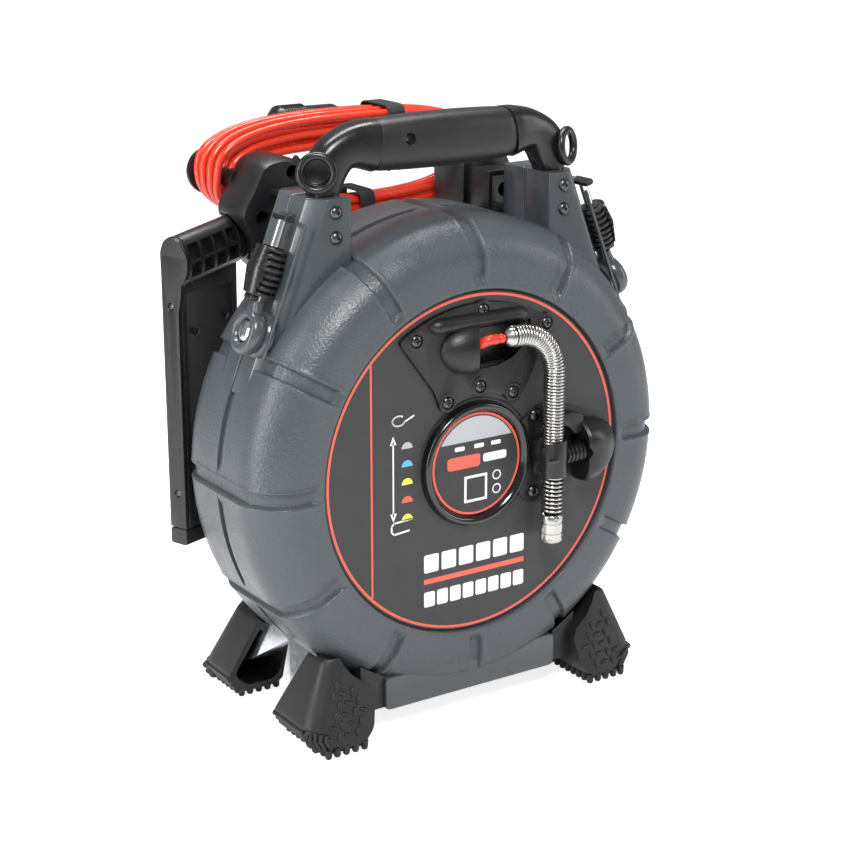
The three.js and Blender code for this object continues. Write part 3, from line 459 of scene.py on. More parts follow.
def piece(name, shape, material, body, stands_for=(), bevel=0.0, segments=3,
          angle=40, keep=(), cuts=(), adds=()):
    obj = temporary(shape, name)
    helpers = []
    for operation, shapes in (("INTERSECT", keep), ("UNION", adds), ("DIFFERENCE", cuts)):
        for other in shapes:
            helper = temporary(other)
            helpers.append(helper)
            boolean = obj.modifiers.new(operation.lower(), "BOOLEAN")
            boolean.operation = operation
            boolean.solver = "EXACT"
            boolean.object = helper
    if bevel > 0:
        soften = obj.modifiers.new("bevel", "BEVEL")
        soften.width = bevel * MM
        soften.segments = segments
        soften.limit_method = "ANGLE"
        soften.angle_limit = math.radians(32)
        soften.use_clamp_overlap = True
    if len(obj.modifiers):
        applied(obj)
    for helper in helpers:
        bpy.data.objects.remove(helper)
    mark_edges(obj.data, angle)
    obj.data.materials.clear()
    obj.data.materials.append(material)
    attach(obj, body)
    if stands_for:
        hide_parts(*stands_for)
    return obj


# ---------------------------------------------------------------- the round case
def groove_columns():
    """(share of a sector, offset in mm from the groove's centre) for one sector of the case."""
    offsets = [-9, -7, -6.2, -5.6, -5, -4.4, -3.8, -3, 0, 3, 3.8, 4.4, 5, 5.6, 6.2, 7, 9]
    between = 9
    return offsets, between


def smoothstep(low, high, value):
    t = min(max((value - low) / (high - low), 0), 1)
    return t * t * (3 - 2 * t)


def groove_depth(offset, radius, start):
    across = 1 - smoothstep(GROOVE_HALF - 1.6, GROOVE_HALF, abs(offset))
    along = smoothstep(start, start + 7, radius)
    lip = 0.45 * math.exp(-((abs(offset) - GROOVE_HALF - 0.7) / 0.8) ** 2)
    return (GROOVE_DEPTH * across - lip) * along


def case_grid(outer, inner, start, seam_slot=False):
    """One half of the case. outer is its skin as (radius, y), from the middle out; inner closes it."""
    offsets, between = groove_columns()
    sector = 2 * math.pi / GROOVES
    rings = list(outer) + list(inner)
    points = []
    columns = 0
    for index, (radius, y) in enumerate(rings):
        is_skin = index < len(outer)
        if is_skin:
            before = Vector(rings[max(index - 1, 0)])
            after = Vector(rings[min(index + 1, len(outer) - 1)])
            along = (after - before).normalized()
            sign = -1 if outer[0][1] < PARTING else 1
            normal = Vector((along.y, -along.x)) * (-sign)
            if normal.dot(Vector((1, sign * 0.6))) < 0:
                normal = -normal
        reach = max(radius, 60.0)
        ring = []
        for k in range(GROOVES):
            middle_angle = k * sector
            for offset in offsets:
                depth = groove_depth(offset, radius, start) if is_skin else 0
                ring.append((middle_angle + offset / reach, depth))
            first = middle_angle + offsets[-1] / reach
            last = middle_angle + sector + offsets[0] / reach
            for j in range(1, between + 1):
                t = j / (between + 1)
                depth = 0
                if is_skin and seam_slot and radius > CASE_R - 1 and abs(y - PARTING) < 6:
                    ends = smoothstep(0.0, 0.12, t) * smoothstep(0.0, 0.12, 1 - t)
                    depth = 2.4 * ends * smoothstep(5.2, 4.4, abs(y - PARTING))
                ring.append((first + (last - first) * t, depth))
        columns = len(ring)
        for angle, depth in ring:
            r, yy = radius, y
            if is_skin and depth:
                r -= normal.x * depth
                yy -= normal.y * depth
            points.append(Vector((r * math.cos(angle), yy, r * math.sin(angle))))
    faces = []
    count = len(rings)
    for i in range(count):
        a, b = i * columns, ((i + 1) % count) * columns
        for k in range(columns):
            n = (k + 1) % columns
            faces.append([a + k, a + n, b + n, b + k])
    return points, faces


def straight(start, end, count):
    """Points on a straight stretch of a profile, without its ends."""
    return [(start[0] + (end[0] - start[0]) * k / count, start[1] + (end[1] - start[1]) * k / count)
            for k in range(1, count)]


def skin_profile(face, sign, start):
    """The case's outer skin from its inner rim to the parting plane."""
    band = face - sign * CORNER
    seam = PARTING + sign * SEAM
    corners = [start, (FACE_R, face), (CASE_R, band), (CASE_R, seam)]
    rounded = fillet(corners, [0, 12, 15, 0], 6)
    first, last = rounded[0], rounded[-1]
    flat = straight(first, rounded[1], 10)
    side = straight(rounded[-2], last, 9)
    return [first] + flat + rounded[1:-1] + side + [last]


def front_shell():
    rim = PLATE_R + 0.7
    outer = [(rim, FACE_Y + 1.2), (rim + 0.3, FACE_Y + 0.4)]
    outer += skin_profile(FACE_Y, -1, (rim + 1.2, FACE_Y))
    inner = [(BORE_R, PARTING - SEAM), (BORE_R, FACE_Y + CORNER + 2), (FACE_R - 3, 5.0), (31, 5.0), (30, 14.3),
             (23.6, 14.3), (13.2, 6.5), (8, 6.5), (8, 2.05), (rim, 2.05)]
    shape = case_grid(outer, inner, PLATE_R + 4, seam_slot=True)
    mouth = block(-14, 40, -6, 12, 68, 100)
    piece("front_shell", shape, SHELL, "front_half", ["front_case"], angle=50, cuts=[mouth])


def rear_shell():
    outer = [(3.5, BACK_Y - 2), (4.5, BACK_Y)]
    for radius in (38, 104):
        outer += [(radius, BACK_Y), (radius + 1, BACK_Y + 1.6), (radius + 5, BACK_Y + 1.6), (radius + 6, BACK_Y)]
    outer += skin_profile(BACK_Y, 1, (118, BACK_Y))
    inner = [(BORE_R, PARTING + SEAM), (BORE_R, BACK_Y - CORNER - 2), (FACE_R - 3, 109), (32, 109), (32, 101.3),
             (22.4, 101.3), (22.4, 109.5), (3.5, 109.5)]
    shape = case_grid(outer, inner, 122)
    piece("rear_shell", shape, SHELL, "rear_half", ["rear_case"], angle=50)


def tower_outer(z, stand_off=0.0):
    return (CASE_R + stand_off - z * math.sin(LEAN)) / math.cos(LEAN)


def tower_outline(inset=0.0, top=TOWER_TOP):
    """The right tower seen from the front. inset pulls its outer side in."""
    tangent = (CASE_R * math.cos(LEAN) - inset, CASE_R * math.sin(LEAN) - inset * 0.3)
    return [(TOWER_INNER, 118), (TOWER_INNER, top), (tower_outer(top) - inset, top), tangent, (126, 66)]


def tower(side, front):
    body = "front_half" if front else "rear_half"
    name = f"tower_{'front' if front else 'rear'}_{'left' if side < 0 else 'right'}"
    if front:
        ends = [(TOWER_FRONT, 9.5), (TOWER_FRONT + 13, 0), (PARTING - SEAM, 0)]
    else:
        ends = [(PARTING + SEAM, 0), (TOWER_BACK - 8, 0), (TOWER_BACK, 6)]
    sections = [[(x, y, z) for x, z in tower_outline(inset)] for y, inset in ends]
    shape = mirrored(loft(sections), side)
    piece(name, shape, SHELL_SMOOTH, body, bevel=1.3, segments=3)


def tower_rails(side):
    """A low rail up the leaning side, and the lip the latch's cross bar hooks under."""
    lean = latch_frame(side)
    rail = moved(block(-9.6, -7.8, -16, -13.2, -14, 76), lean)
    piece(f"tower_rails_{side_name(side)}", rail, SHELL_SMOOTH, "front_half", bevel=0.5)
    catch = moved(block(-10, -2.5, 1, 12, 78.8, 81.4), lean)
    piece(f"latch_catch_{side_name(side)}", catch, SHELL_SMOOTH, "rear_half", bevel=0.5)


def side_name(side):
    return "left" if side < 0 else "right"


def base_block(front):
    y0, y1 = (1.5, PARTING - SEAM) if front else (PARTING + SEAM, BACK_Y - 5)
    outline = fillet([(-BASE_HALF, BASE_Z), (BASE_HALF, BASE_Z), (BASE_HALF, -143), (-BASE_HALF, -143)], 4, 3, True)
    knuckles = []
    pin_low, pin_high = case_box("case_hinge_pin")
    pin_y, pin_z = (pin_low.y + pin_high.y) / 2, (pin_low.z + pin_high.z) / 2
    room = []
    for x0, x1, owner_front in ((-56, -24.6, False), (-24, 24, True), (24.6, 56, False)):
        if owner_front == front:
            reach = -16 if front else 16
            lug = block(x0, x1, min(pin_y, pin_y + reach), max(pin_y, pin_y + reach), pin_z, BASE_Z + 1)
            knuckles += [rod((x0, pin_y, pin_z), (x1, pin_y, pin_z), 5.4, 32), lug]
        else:
            room.append(rod((x0 - 0.5, pin_y, pin_z), (x1 + 0.5, pin_y, pin_z), 6.3, 32))
    name = "front" if front else "rear"
    body = name + "_half"
    piece(f"base_block_{name}", prism_y(outline, y0, y1), SHELL_SMOOTH, body,
          bevel=2.5, cuts=room)
    piece(f"hinge_knuckles_{name}", join(*knuckles), SHELL_SMOOTH, body, bevel=0.4)


def leg(side, front):
    """The bright leg that carries a rubber foot: a folded strip that narrows from the case to the foot."""
    outline = [(92, -126), (98, -162), (122, -166), (132, -157), (116, -119), (100, -108)]
    if front:
        ends, inset = (24, 40, PARTING - 0.6), (8, 6, 1)
        profile = [(PARTING - 0.6, -106), (PARTING - 0.6, -122), (47, -163), (24, -165), (24, -106)]
    else:
        ends, inset = (136, 104, PARTING + 0.6), (8, 6, 1)
        profile = [(PARTING + 0.6, -106), (PARTING + 0.6, -124), (100, -152), (137, -160), (137, -106)]
    sections = [[(x - narrow, y, z + narrow * 0.4) for x, z in outline] for y, narrow in zip(ends, inset)]
    shape = mirrored(loft(sections), side)
    body = "front_half" if front else "rear_half"
    piece(f"leg_{'front' if front else 'rear'}_{side_name(side)}", shape, ALLOY, body,
          bevel=1.0, segments=2, keep=[mirrored(prism_x(profile, 60, 150), side)])


# ---------------------------------------------------------------- label plate
def plate_and_print():
    plate = turned([(30, 0), (PLATE_R - 0.6, 0), (PLATE_R, 0.5), (PLATE_R, 1.85), (30, 1.85)], segments=160)
    mouth = block(-14, 40, -6, 12, 68, 100)
    piece("label_plate", plate, PLATE, "front_half", ["front_plate"], angle=30, cuts=[mouth])
    printed("ring", [turned([(116.4, -0.1), (118.2, -0.1), (118.2, 0.02), (116.4, 0.02)], segments=160)], RED)
    half = math.sqrt(116.4 ** 2 - 83.5 ** 2)
    printed("side_line", [strip(-84.2, -82.8, -half, half)], RED)
    printed("underline", [strip(-42, 42, -80.2, -76.6)], RED)
    printed("name_blocks", block_row(-42, 42, -72, -59, 6, 2.4) + block_row(-42, 42, -97, -86, 8, 1.8), WHITE)
    pictogram_scale()


def strip(x0, x1, z0, z1, lift=0.1):
    return block(x0, x1, -lift, 0.02, z0, z1)


def rounded_strip(x0, x1, z0, z1, radius, lift=0.1):
    outline = fillet([(x0, z0), (x1, z0), (x1, z1), (x0, z1)], radius, 5, True)
    return prism_y(outline, -lift, 0.02)


def block_row(x0, x1, z0, z1, count, gap):
    """Plain rounded blocks in place of a name."""
    width = (x1 - x0 + gap) / count
    return [rounded_strip(x0 + k * width, x0 + (k + 1) * width - gap, z0, z1, 1.6) for k in range(count)]


def line(points, width, closed=False, lift=0.1):
    """A printed line of even width through points in X and Z."""
    shapes = []
    pairs = list(zip(points, points[1:] + points[:1] if closed else points[1:]))
    for start, end in pairs:
        a, b = Vector(start), Vector(end)
        if (b - a).length < 1e-6:
            continue
        along = (b - a).normalized()
        across = Vector((-along.y, along.x)) * width / 2
        a, b = a - along * width * 0.25, b + along * width * 0.25
        outline = [tuple(a - across), tuple(b - across), tuple(b + across), tuple(a + across)]
        shapes.append(prism_y(outline, -lift, 0.02))
    return join(*shapes)


def printed(name, shapes, material):
    piece("print_" + name, join(*shapes), material, "front_half")


def half_disc(x, z, radius):
    outline = [(x + radius * math.cos(math.pi * k / 14), z + radius * math.sin(math.pi * k / 14)) for k in range(15)]
    return prism_y(outline, -0.1, 0.02)


def pictogram_scale():
    """A depth scale: a double arrow beside five coloured half discs, between a loop and a hook."""
    x = -66.5
    top, bottom = 26.0, -26.0
    arrow = [line([(x, bottom), (x, top)], 1.1),
             prism_y([(x - 2.6, top - 2), (x + 2.6, top - 2), (x, top + 4)], -0.1, 0.02),
             prism_y([(x - 2.6, bottom + 2), (x, bottom - 4), (x + 2.6, bottom + 2)], -0.1, 0.02)]
    loop = [(-62 + 5 * math.cos(a), 40 + 3.4 * math.sin(a)) for a in [math.pi * 2 * k / 20 for k in range(3, 20)]]
    hook = [(-52, -30), (-66, -31), (-68, -33), (-68, -37), (-66, -39), (-54, -38)]
    arrow += [line(loop + [(-50, 42)], 1.1), line(hook, 1.3)]
    printed("scale_arrow", arrow, WHITE)
    for k, (name, ink_color) in enumerate((("silver", SILVER), ("blue", BLUE), ("yellow", YELLOW),
                                           ("red", RED), ("amber", YELLOW))):
        printed(f"scale_{name}", [half_disc(-55.5, 20 - 12.6 * k, 4.4)], ink_color)


def hub():
    ring = [(36.4, -0.6), (37.2, -2.6), (38.6, -4.6), (40.2, -5.5), (41.6, -5.4), (42.7, -4.4), (43.2, -2.6), (43.2, -0.02),
            (36.4, -0.02)]
    piece("hub_bezel", turned(ring, segments=128), GLOSS, "front_half", ["hub_ring"], angle=60)
    # A thin black ring lying on the plate round the hub bezel: painted shadow of the raised bezel.
    shadow = [(44, -0.35), (46.2, -0.35), (46.8, -0.05), (43.4, -0.05)]
    piece("hub_painted_shadow_ring", turned(shadow, segments=96), BLACK_SMOOTH, "front_half")
    face = -1.4
    label = [(0, face), (36.3, face), (36.3, -0.05), (0, -0.05)]
    piece("hub_disc", turned(label, segments=96), PLATE, "front_half", ["hub_label"], angle=30)
    hub_print("ring", [turned([(34.6, face - 0.1), (36.2, face - 0.1), (36.2, face), (34.6, face)], segments=96)], RED)
    cap = [polar(33.6, a) for a in range(30, 151, 6)]
    hub_print("cap", [prism_y(cap, face - 0.1, face)], SILVER)
    bars = [prism_y(fillet([(-24, -2), (3, -2), (3, 7), (-24, 7)], 2.5, 4, True), face - 0.1, face)]
    hub_print("bar_red", bars, RED)
    small = [prism_y(fillet([(5.5, 0), (25, 0), (25, 6), (5.5, 6)], 2, 4, True), face - 0.1, face)]
    for x in (-14, 2, 16):
        small.append(prism_y(fillet([(x - 4, 11), (x + 4, 11), (x + 4, 14), (x - 4, 14)], 1, 3, True), face - 0.1, face))
    for radius in (3.6,):
        for x, z in ((17, -11), (17, -21)):
            small.append(shifted(turned([(radius - 0.9, face - 0.1), (radius, face - 0.1), (radius, face), (radius - 0.9, face)],
                                        segments=24), x, 0, z))
    small.append(prism_y([(-10, -27), (9, -27), (9, -8), (-10, -8)], face - 0.1, face))
    hub_print("marks", small, WHITE)
    squares = []
    for k, half in enumerate((7.6, 4.2)):
        squares.append(prism_y(frame_outline(-0.5, -17.5, half), face - 0.16 - 0.02 * k, face - 0.09))
    hub_print("square", squares, PLATE)


def frame_outline(x, z, half):
    return fillet([(x - half, z - half), (x + half, z - half), (x + half, z + half), (x - half, z + half)], 1, 3, True)


def hub_print(name, shapes, material):
    piece("hub_print_" + name, join(*shapes), material, "front_half")


# ---------------------------------------------------------------- screws
def cross_screw(name, node, body, material, axis=(0, -1, 0), radius=4.0, seat=None, length=3.0):
    """A domed head with a cross recess."""
    centre = Vector(seat) if seat else middle(node)
    dome = radius * 0.5
    profile = [(0, -length), (radius * 0.42, -length), (radius * 0.42, 0), (radius - 0.3, 0), (radius, 0.3),
               (radius * 0.93, dome * 0.45), (radius * 0.72, dome * 0.82), (radius * 0.4, dome * 0.98), (0, dome)]
    head = aimed(lathe(profile, 32, closed=False), centre, axis)
    arm, half = radius * 0.56, radius * 0.13
    slots = [aimed(shifted(block(-a, a, -b, b, dome * 0.3, dome + 1), 0, 0, 0), centre, axis)
             for a, b in ((arm, half), (half, arm))]
    return piece(name, head, material, body, [node], angle=38, cuts=slots)


def domed_screw(name, node, body, radius=4.5):
    centre = middle(node)
    low, high = case_box(node)
    profile = [(0, -12), (2, -12), (2, 0), (radius - 0.2, 0), (radius, 0.5)]
    for k in range(1, 7):
        a = math.pi / 2 * k / 6
        profile.append((radius * math.cos(a), 0.5 + (radius * 0.62) * math.sin(a)))
    profile[-1] = (0, 0.5 + radius * 0.62)
    front = (centre.x, low.y + 2.7, centre.z)
    dimple = aimed(lathe([(0, 1.9), (1.25, 1.9), (1.25, 6), (0, 6)], 6, closed=False), front, (0, -1, 0))
    piece(name, aimed(lathe(profile, 36, closed=False), front, (0, -1, 0)), SCREW, body, [node],
          angle=40, cuts=[dimple])


# ---------------------------------------------------------------- cable guide
def guide_screws():
    seats = []
    for k in range(6):
        node = f"guide_screw_{k + 1}"
        spot = middle(node)
        seats.append((spot.x, spot.z))
        cross_screw(f"guide_cross_screw_{k + 1}", node, "front_half", SCREW,
                    seat=(spot.x, -2.0, spot.z), radius=4.1)
    return seats


def guide_outline(grow=0.0):
    points = [polar(112.3 + grow, a) for a in range(56, 125, 4)]
    points += [(-35 - grow, 56), (-30 - grow, 44 - grow), (-22, 41 - grow), (-16, 46 - grow), (-4, 50 - grow),
               (10, 50.4 - grow), (20, 47 - grow), (27, 41.5 - grow), (34, 42 - grow), (41 + grow, 50)]
    return fillet(points, 4, 3, True)


def sheared(shape, slant):
    """Leans a shape sideways with depth: X moves by slant for each millimetre of Y."""
    return [Vector((p[0] + slant * p[1], p[1], p[2])) for p in shape[0]], shape[1]


def guide_cover():
    seats = guide_screws()
    slab = prism_y(guide_outline(), -2.3, -0.02)
    window = prism_y(fillet([(-14, 96), (44, 96), (40, 80), (29, 71), (16, 67), (-14, 66)], 2, 3, True), -30, 20)
    holes = [turned([(0, -3.2), (4.7, -3.2), (5.1, -1.6), (0, -1.6)], (x, 0, z), 28) for x, z in seats]
    bosses = [turned([(0, -0.5), (6.8, -0.5), (6.8, -2.6), (6.2, -2.95), (0, -2.95)], (x, 0, z), 32) for x, z in seats]
    piece("guide_cover_plate", join(slab), BLACK, "front_half", ["guide_cover"], bevel=0.5,
          cuts=[window] + holes, adds=bosses)
    outer = ball((-4, 0, 82), (27, 15.5, 18.5), 56, 28)
    hollow = ball((-2, 0, 82), (24.6, 13.2, 16.4), 56, 28)
    behind = block(-60, 60, -2.2, 40, 40, 130)
    right = sheared(block(2.6, 80, -60, 40, 40, 130), 0.67)
    piece("guide_scoop", outer, BLACK, "front_half", bevel=0.5, segments=2,
          cuts=[hollow, behind, right])
    rib = sweep([(-40 + 82 * t / 20, -1.5, 100.4) for t in range(21)], rib_section)
    piece("guide_rib", rib, BLACK, "front_half", angle=60,
          cuts=[block(-80, 80, -1, 40, 60, 140)])
    well = block(-12, 44, 2.1, 13.5, 64, 100)
    piece("guide_throat", well, BLACK_SMOOTH, "front_half", bevel=0.4,
          cuts=[block(-10, 42, -5, 12, 66, 98), rod((-7, 5, 82), (-7, 30, 82), 5)])
    trim = line_ring(guide_outline(1.1), guide_outline(0.1), -0.3, -0.02)
    piece("guide_seam", trim, GLOSS, "front_half")


def rib_section(t):
    """The rib's rounded section, which closes smoothly at both ends."""
    end = min(t, 1 - t) / 0.12
    grow = math.sqrt(max(1 - (1 - min(end, 1)) ** 2, 0.0025))
    return super_section(5.6 * grow, 6.2 * grow, 24, 1.0)


def line_ring(outer, inner, y0, y1):
    """A flat band between two outlines with the same number of points."""
    sections = []
    for outline, y in ((outer, y0), (outer, y1), (inner, y1), (inner, y0)):
        sections.append([(x, y, z) for x, z in outline])
    return loft(sections, loop=True)


# ---------------------------------------------------------------- spring clip
def clip_bracket():
    rim = [polar(119, a) for a in range(0, -9, -2)]
    outline = [polar(44.5, 33), (52, 33.5), (64, 32), (84, 27), (100, 19.5), (112, 9)]
    outline += rim + [(116, -17), (96, -28.5), (78, -36), (60, -39), polar(55, -40), polar(44.5, -38)]
    hub_edge = [polar(44.5, a) for a in range(-30, 31, 6)]
    pad = prism_y(fillet(outline, 4, 3, True) + hub_edge, -1.8, -0.02)
    holes = []
    for k in (1, 2):
        spot = middle(f"clip_screw_{k}")
        holes.append(turned([(0, -6), (4.6, -6), (4.6, -1.4), (0, -1.4)], (spot.x, 0, spot.z), 28))
        cross_screw(f"clip_cross_screw_{k}", f"clip_screw_{k}", "front_half", SCREW,
                    seat=(spot.x, -1.8, spot.z), radius=4.1)
    piece("clip_base", pad, BLACK, "front_half", ["clip_bracket"], bevel=0.7, cuts=holes)
    pod_stations = ((82, -21.5, 19, -25), (84, -22.5, 20, -26), (92, -22.5, 19.5, -25.5), (100, -20.5, 18, -21.5),
                    (107, -16.5, 15, -17), (113, -11.0, 10, -13), (117, -6.0, 5, -9), (119, -2.4, 0, -6))
    sections = []
    for x, front, top, bottom in pod_stations:
        corners = [(-0.8, bottom), (-0.8, top), (front * 0.55, top - 1.2), (front, top - 10), (front, bottom + 8),
                   (front * 0.7, bottom + 1)]
        sections.append([(x, y, z) for y, z in fillet(corners, 6, 5, True)])
    piece("clip_pod", loft(sections), BLACK, "front_half", bevel=1.2, segments=3, angle=45,
          cuts=[rod((79, SPRING_Y, -2), (85, SPRING_Y, -2), 8.6, 32)])
    web = prism_y(fillet([(60, 25), (72, 27), (84, 24), (84, 12), (78, 9), (70, 17), (60, 18)], 3, 4, True), -12, -1)
    slope = shifted(block(50, 90, -30, 0, 0, 40), 0, -12, 24)
    piece("clip_web", web, BLACK, "front_half", bevel=1.5, segments=3,
          cuts=[sheared_up(slope)])


def sheared_up(shape):
    """Leans a shape upwards with X, so that it cuts a rising ramp."""
    return [Vector((p[0], p[1] - 0.5 * (p[0] - 60), p[2])) for p in shape[0]], shape[1]


def camera_clip():
    centre_z = -2.0
    half = 13.0
    inner, outer = SPRING_R + 0.35, SPRING_R + 2.5
    gap = math.radians(52)
    arc = []
    for k in range(33):
        a = math.pi + gap + (2 * math.pi - 2 * gap) * k / 32
        arc.append((a, outer))
    outline = [(SPRING_X + r * math.cos(a), SPRING_Y + r * math.sin(a)) for a, r in arc]
    outline += [(SPRING_X + inner * math.cos(a), SPRING_Y + inner * math.sin(a)) for a, r in reversed(arc)]
    shell = loft([[(x, y, centre_z - half) for x, y in outline], [(x, y, centre_z + half) for x, y in outline]])
    lip_x = SPRING_X + outer * math.cos(math.pi + gap)
    lip_y = SPRING_Y + outer * math.sin(math.pi + gap)
    tab = block(lip_x - 7.5, lip_x + 1.5, lip_y - 0.6, lip_y + 1.6, centre_z - half + 1, centre_z + half - 1)
    flange = block(lip_x - 8.6, lip_x - 6.4, lip_y - 4.2, lip_y + 1.6, centre_z - half + 1.5, centre_z + half - 1.5)
    rib = block(lip_x - 7, lip_x + 4, lip_y - 2.4, lip_y + 0.5, centre_z - 1.1, centre_z + 1.1)
    back = block(lip_x - 5.0, lip_x + 1.5, SPRING_Y * 2 - lip_y - 1.6, SPRING_Y * 2 - lip_y + 0.5,
                 centre_z - half + 1, centre_z + half - 1)
    piece("clip_sleeve", shell, BLACK_SMOOTH, "front_half", ["camera_clip"], bevel=0.5,
          adds=[tab, flange, rib, back])
    profile = [(0, 0)]
    length = 81 - (SPRING_X + outer - 1.5)
    beads = 5
    for k in range(beads):
        start = length * k / beads
        profile += [(5.6, start + 0.2), (6.7, start + 0.9), (6.7, start + 2.2), (5.6, start + 2.9)]
    profile.append((0, length))
    neck = aimed(lathe(profile, 40, closed=False), (SPRING_X + outer - 1.5, SPRING_Y, centre_z), (1, 0, 0))
    piece("clip_neck", neck, BLACK_SMOOTH, "front_half", angle=50)


# ---------------------------------------------------------------- camera, spring and cable
MOUTH = middle("spring_ferrule")
MOUTH_Z = MOUTH.z
SWIVEL_X = case_box("spring_ferrule")[0].x + 3.4
SPRING_START = case_box("spring_ferrule")[1].x
SPRING_END = case_box("camera_head")[1].z
BEND_R = 30.0


def spring_path():
    """Centre line of the flexible spring, from the ferrule to the camera head, in even steps."""
    bend = Vector((SPRING_X - BEND_R, SPRING_Y, MOUTH_Z - BEND_R))
    points = [Vector((SPRING_START + (bend.x - SPRING_START) * k / 6, SPRING_Y, MOUTH_Z)) for k in range(6)]
    for k in range(25):
        a = math.pi / 2 * (1 - k / 24)
        points.append(bend + Vector((BEND_R * math.cos(a), 0, BEND_R * math.sin(a))))
    for k in range(1, 61):
        points.append(Vector((SPRING_X, SPRING_Y, bend.z + (SPRING_END - bend.z) * k / 60)))
    return points


def walk(points, distance):
    """The point and direction at a distance along a polyline."""
    for a, b in zip(points, points[1:]):
        length = (b - a).length
        if distance <= length:
            return a + (b - a) * (distance / length), (b - a).normalized()
        distance -= length
    return points[-1], (points[-1] - points[-2]).normalized()


def flex_spring():
    path = spring_path()
    total = sum((b - a).length for a, b in zip(path, path[1:]))
    wire = 0.95
    radius = SPRING_R - wire
    open_from = total - (-15 - SPRING_END)
    coil = []
    distance, angle = 0.4, 0.0
    steps = 20
    while distance < total - 0.4:
        spot, along = walk(path, distance)
        side = along.cross(Vector((0, 1, 0))).normalized()
        out = side * math.cos(angle) + Vector((0, 1, 0)) * math.sin(angle)
        coil.append(spot + out * radius)
        pitch = 3.0 if distance > open_from else 2.25
        distance += pitch / steps
        angle += 2 * math.pi / steps
    piece("spring_coil", tube(coil, wire, 8), STEEL, "camera", ["flex_spring"], angle=180)
    core = [walk(path, total * k / 70)[0] for k in range(71)]
    piece("spring_core", tube(core, 4.6, 16), BLACK_SMOOTH, "camera", angle=180)


def camera_head():
    low, high = case_box("camera_head")
    r = 7.75
    length = high.z - low.z
    bottom = low.z
    profile = [(0, 1.3), (4.9, 1.3), (4.9, 0.2), (5.2, 0), (6.2, 0.1), (r - 0.6, 1.0), (r, 2.2), (r, 7.1),
               (r - 0.5, 7.4), (r - 0.5, 8.3), (r, 8.6), (r, 14.4), (r - 0.45, 14.7), (r - 0.45, 15.6), (r, 15.9),
               (r, length - 1.2), (r - 0.5, length - 0.4), (r - 1.2, length), (0, length)]
    head = aimed(lathe(profile, 64, closed=False), (SPRING_X, SPRING_Y, bottom), (0, 0, 1))
    cuts = []
    for k in range(6):
        a = math.radians(60 * k + 15)
        out = Vector((math.cos(a), math.sin(a), 0))
        centre = Vector((SPRING_X, SPRING_Y, bottom + 17.6))
        cuts.append(rod(centre + out * (r - 1.1), centre + out * (r + 2), 0.75, 16))
    for k in range(4):
        a = math.radians(90 * k + 44)
        out = Vector((math.cos(a), math.sin(a), 0))
        across = Vector((-math.sin(a), math.cos(a), 0))
        window = fillet([(-2.6, 3.4), (2.6, 3.4), (2.6, 6.4), (-2.6, 6.4)], 0.7, 3, True)
        base = Vector((SPRING_X, SPRING_Y, bottom))
        cuts.append(loft([[base + out * d + across * u + Vector((0, 0, v)) for u, v in window]
                          for d in (r - 0.5, r + 2)]))
    piece("camera_body", head, STEEL, "camera", ["camera_head"], angle=35, cuts=cuts)
    lens = [(0, 0.5), (3.6, 0.75), (4.2, 1.0), (4.6, 1.3), (0, 1.3)]
    shape = aimed(lathe(lens, 40, closed=False), (SPRING_X, SPRING_Y, bottom), (0, 0, 1))
    piece("camera_lens", shape, GLASS, "camera", ["camera_window"], angle=60)


def ferrule_and_lead():
    base = Vector((SWIVEL_X, SPRING_Y, MOUTH_Z))
    end = SPRING_START - SWIVEL_X
    profile = [(0, 2.6), (3.9, 2.7), (4.4, 3.2), (4.9, 3.8), (6.5, end * 0.62), (7.0, end * 0.72), (7.0, end * 0.86),
               (6.4, end * 0.92), (6.9, end), (0, end)]
    piece("ferrule", aimed(lathe(profile, 48, closed=False), base, (1, 0, 0)), STEEL, "camera",
          ["spring_ferrule"], angle=35)
    piece("lead_ball", ball(base, (3.35, 3.35, 3.35), 24, 12), ORANGE, "camera")
    low, high = case_box("push_cable_lead")
    start = Vector((low.x + 3.6, high.y - 0.5, low.z + 3.6))
    path = spline([start, start + Vector((0.6, -8, 1.2)), start + Vector((3.2, -15, 3.4)),
                   Vector((base.x - 10, SPRING_Y + 0.8, MOUTH_Z - 0.3)), Vector((base.x - 3.5, SPRING_Y, MOUTH_Z))], 8)
    piece("cable_lead", tube(path, 3.55, 20), ORANGE, "front_half", ["push_cable_lead"], angle=60)


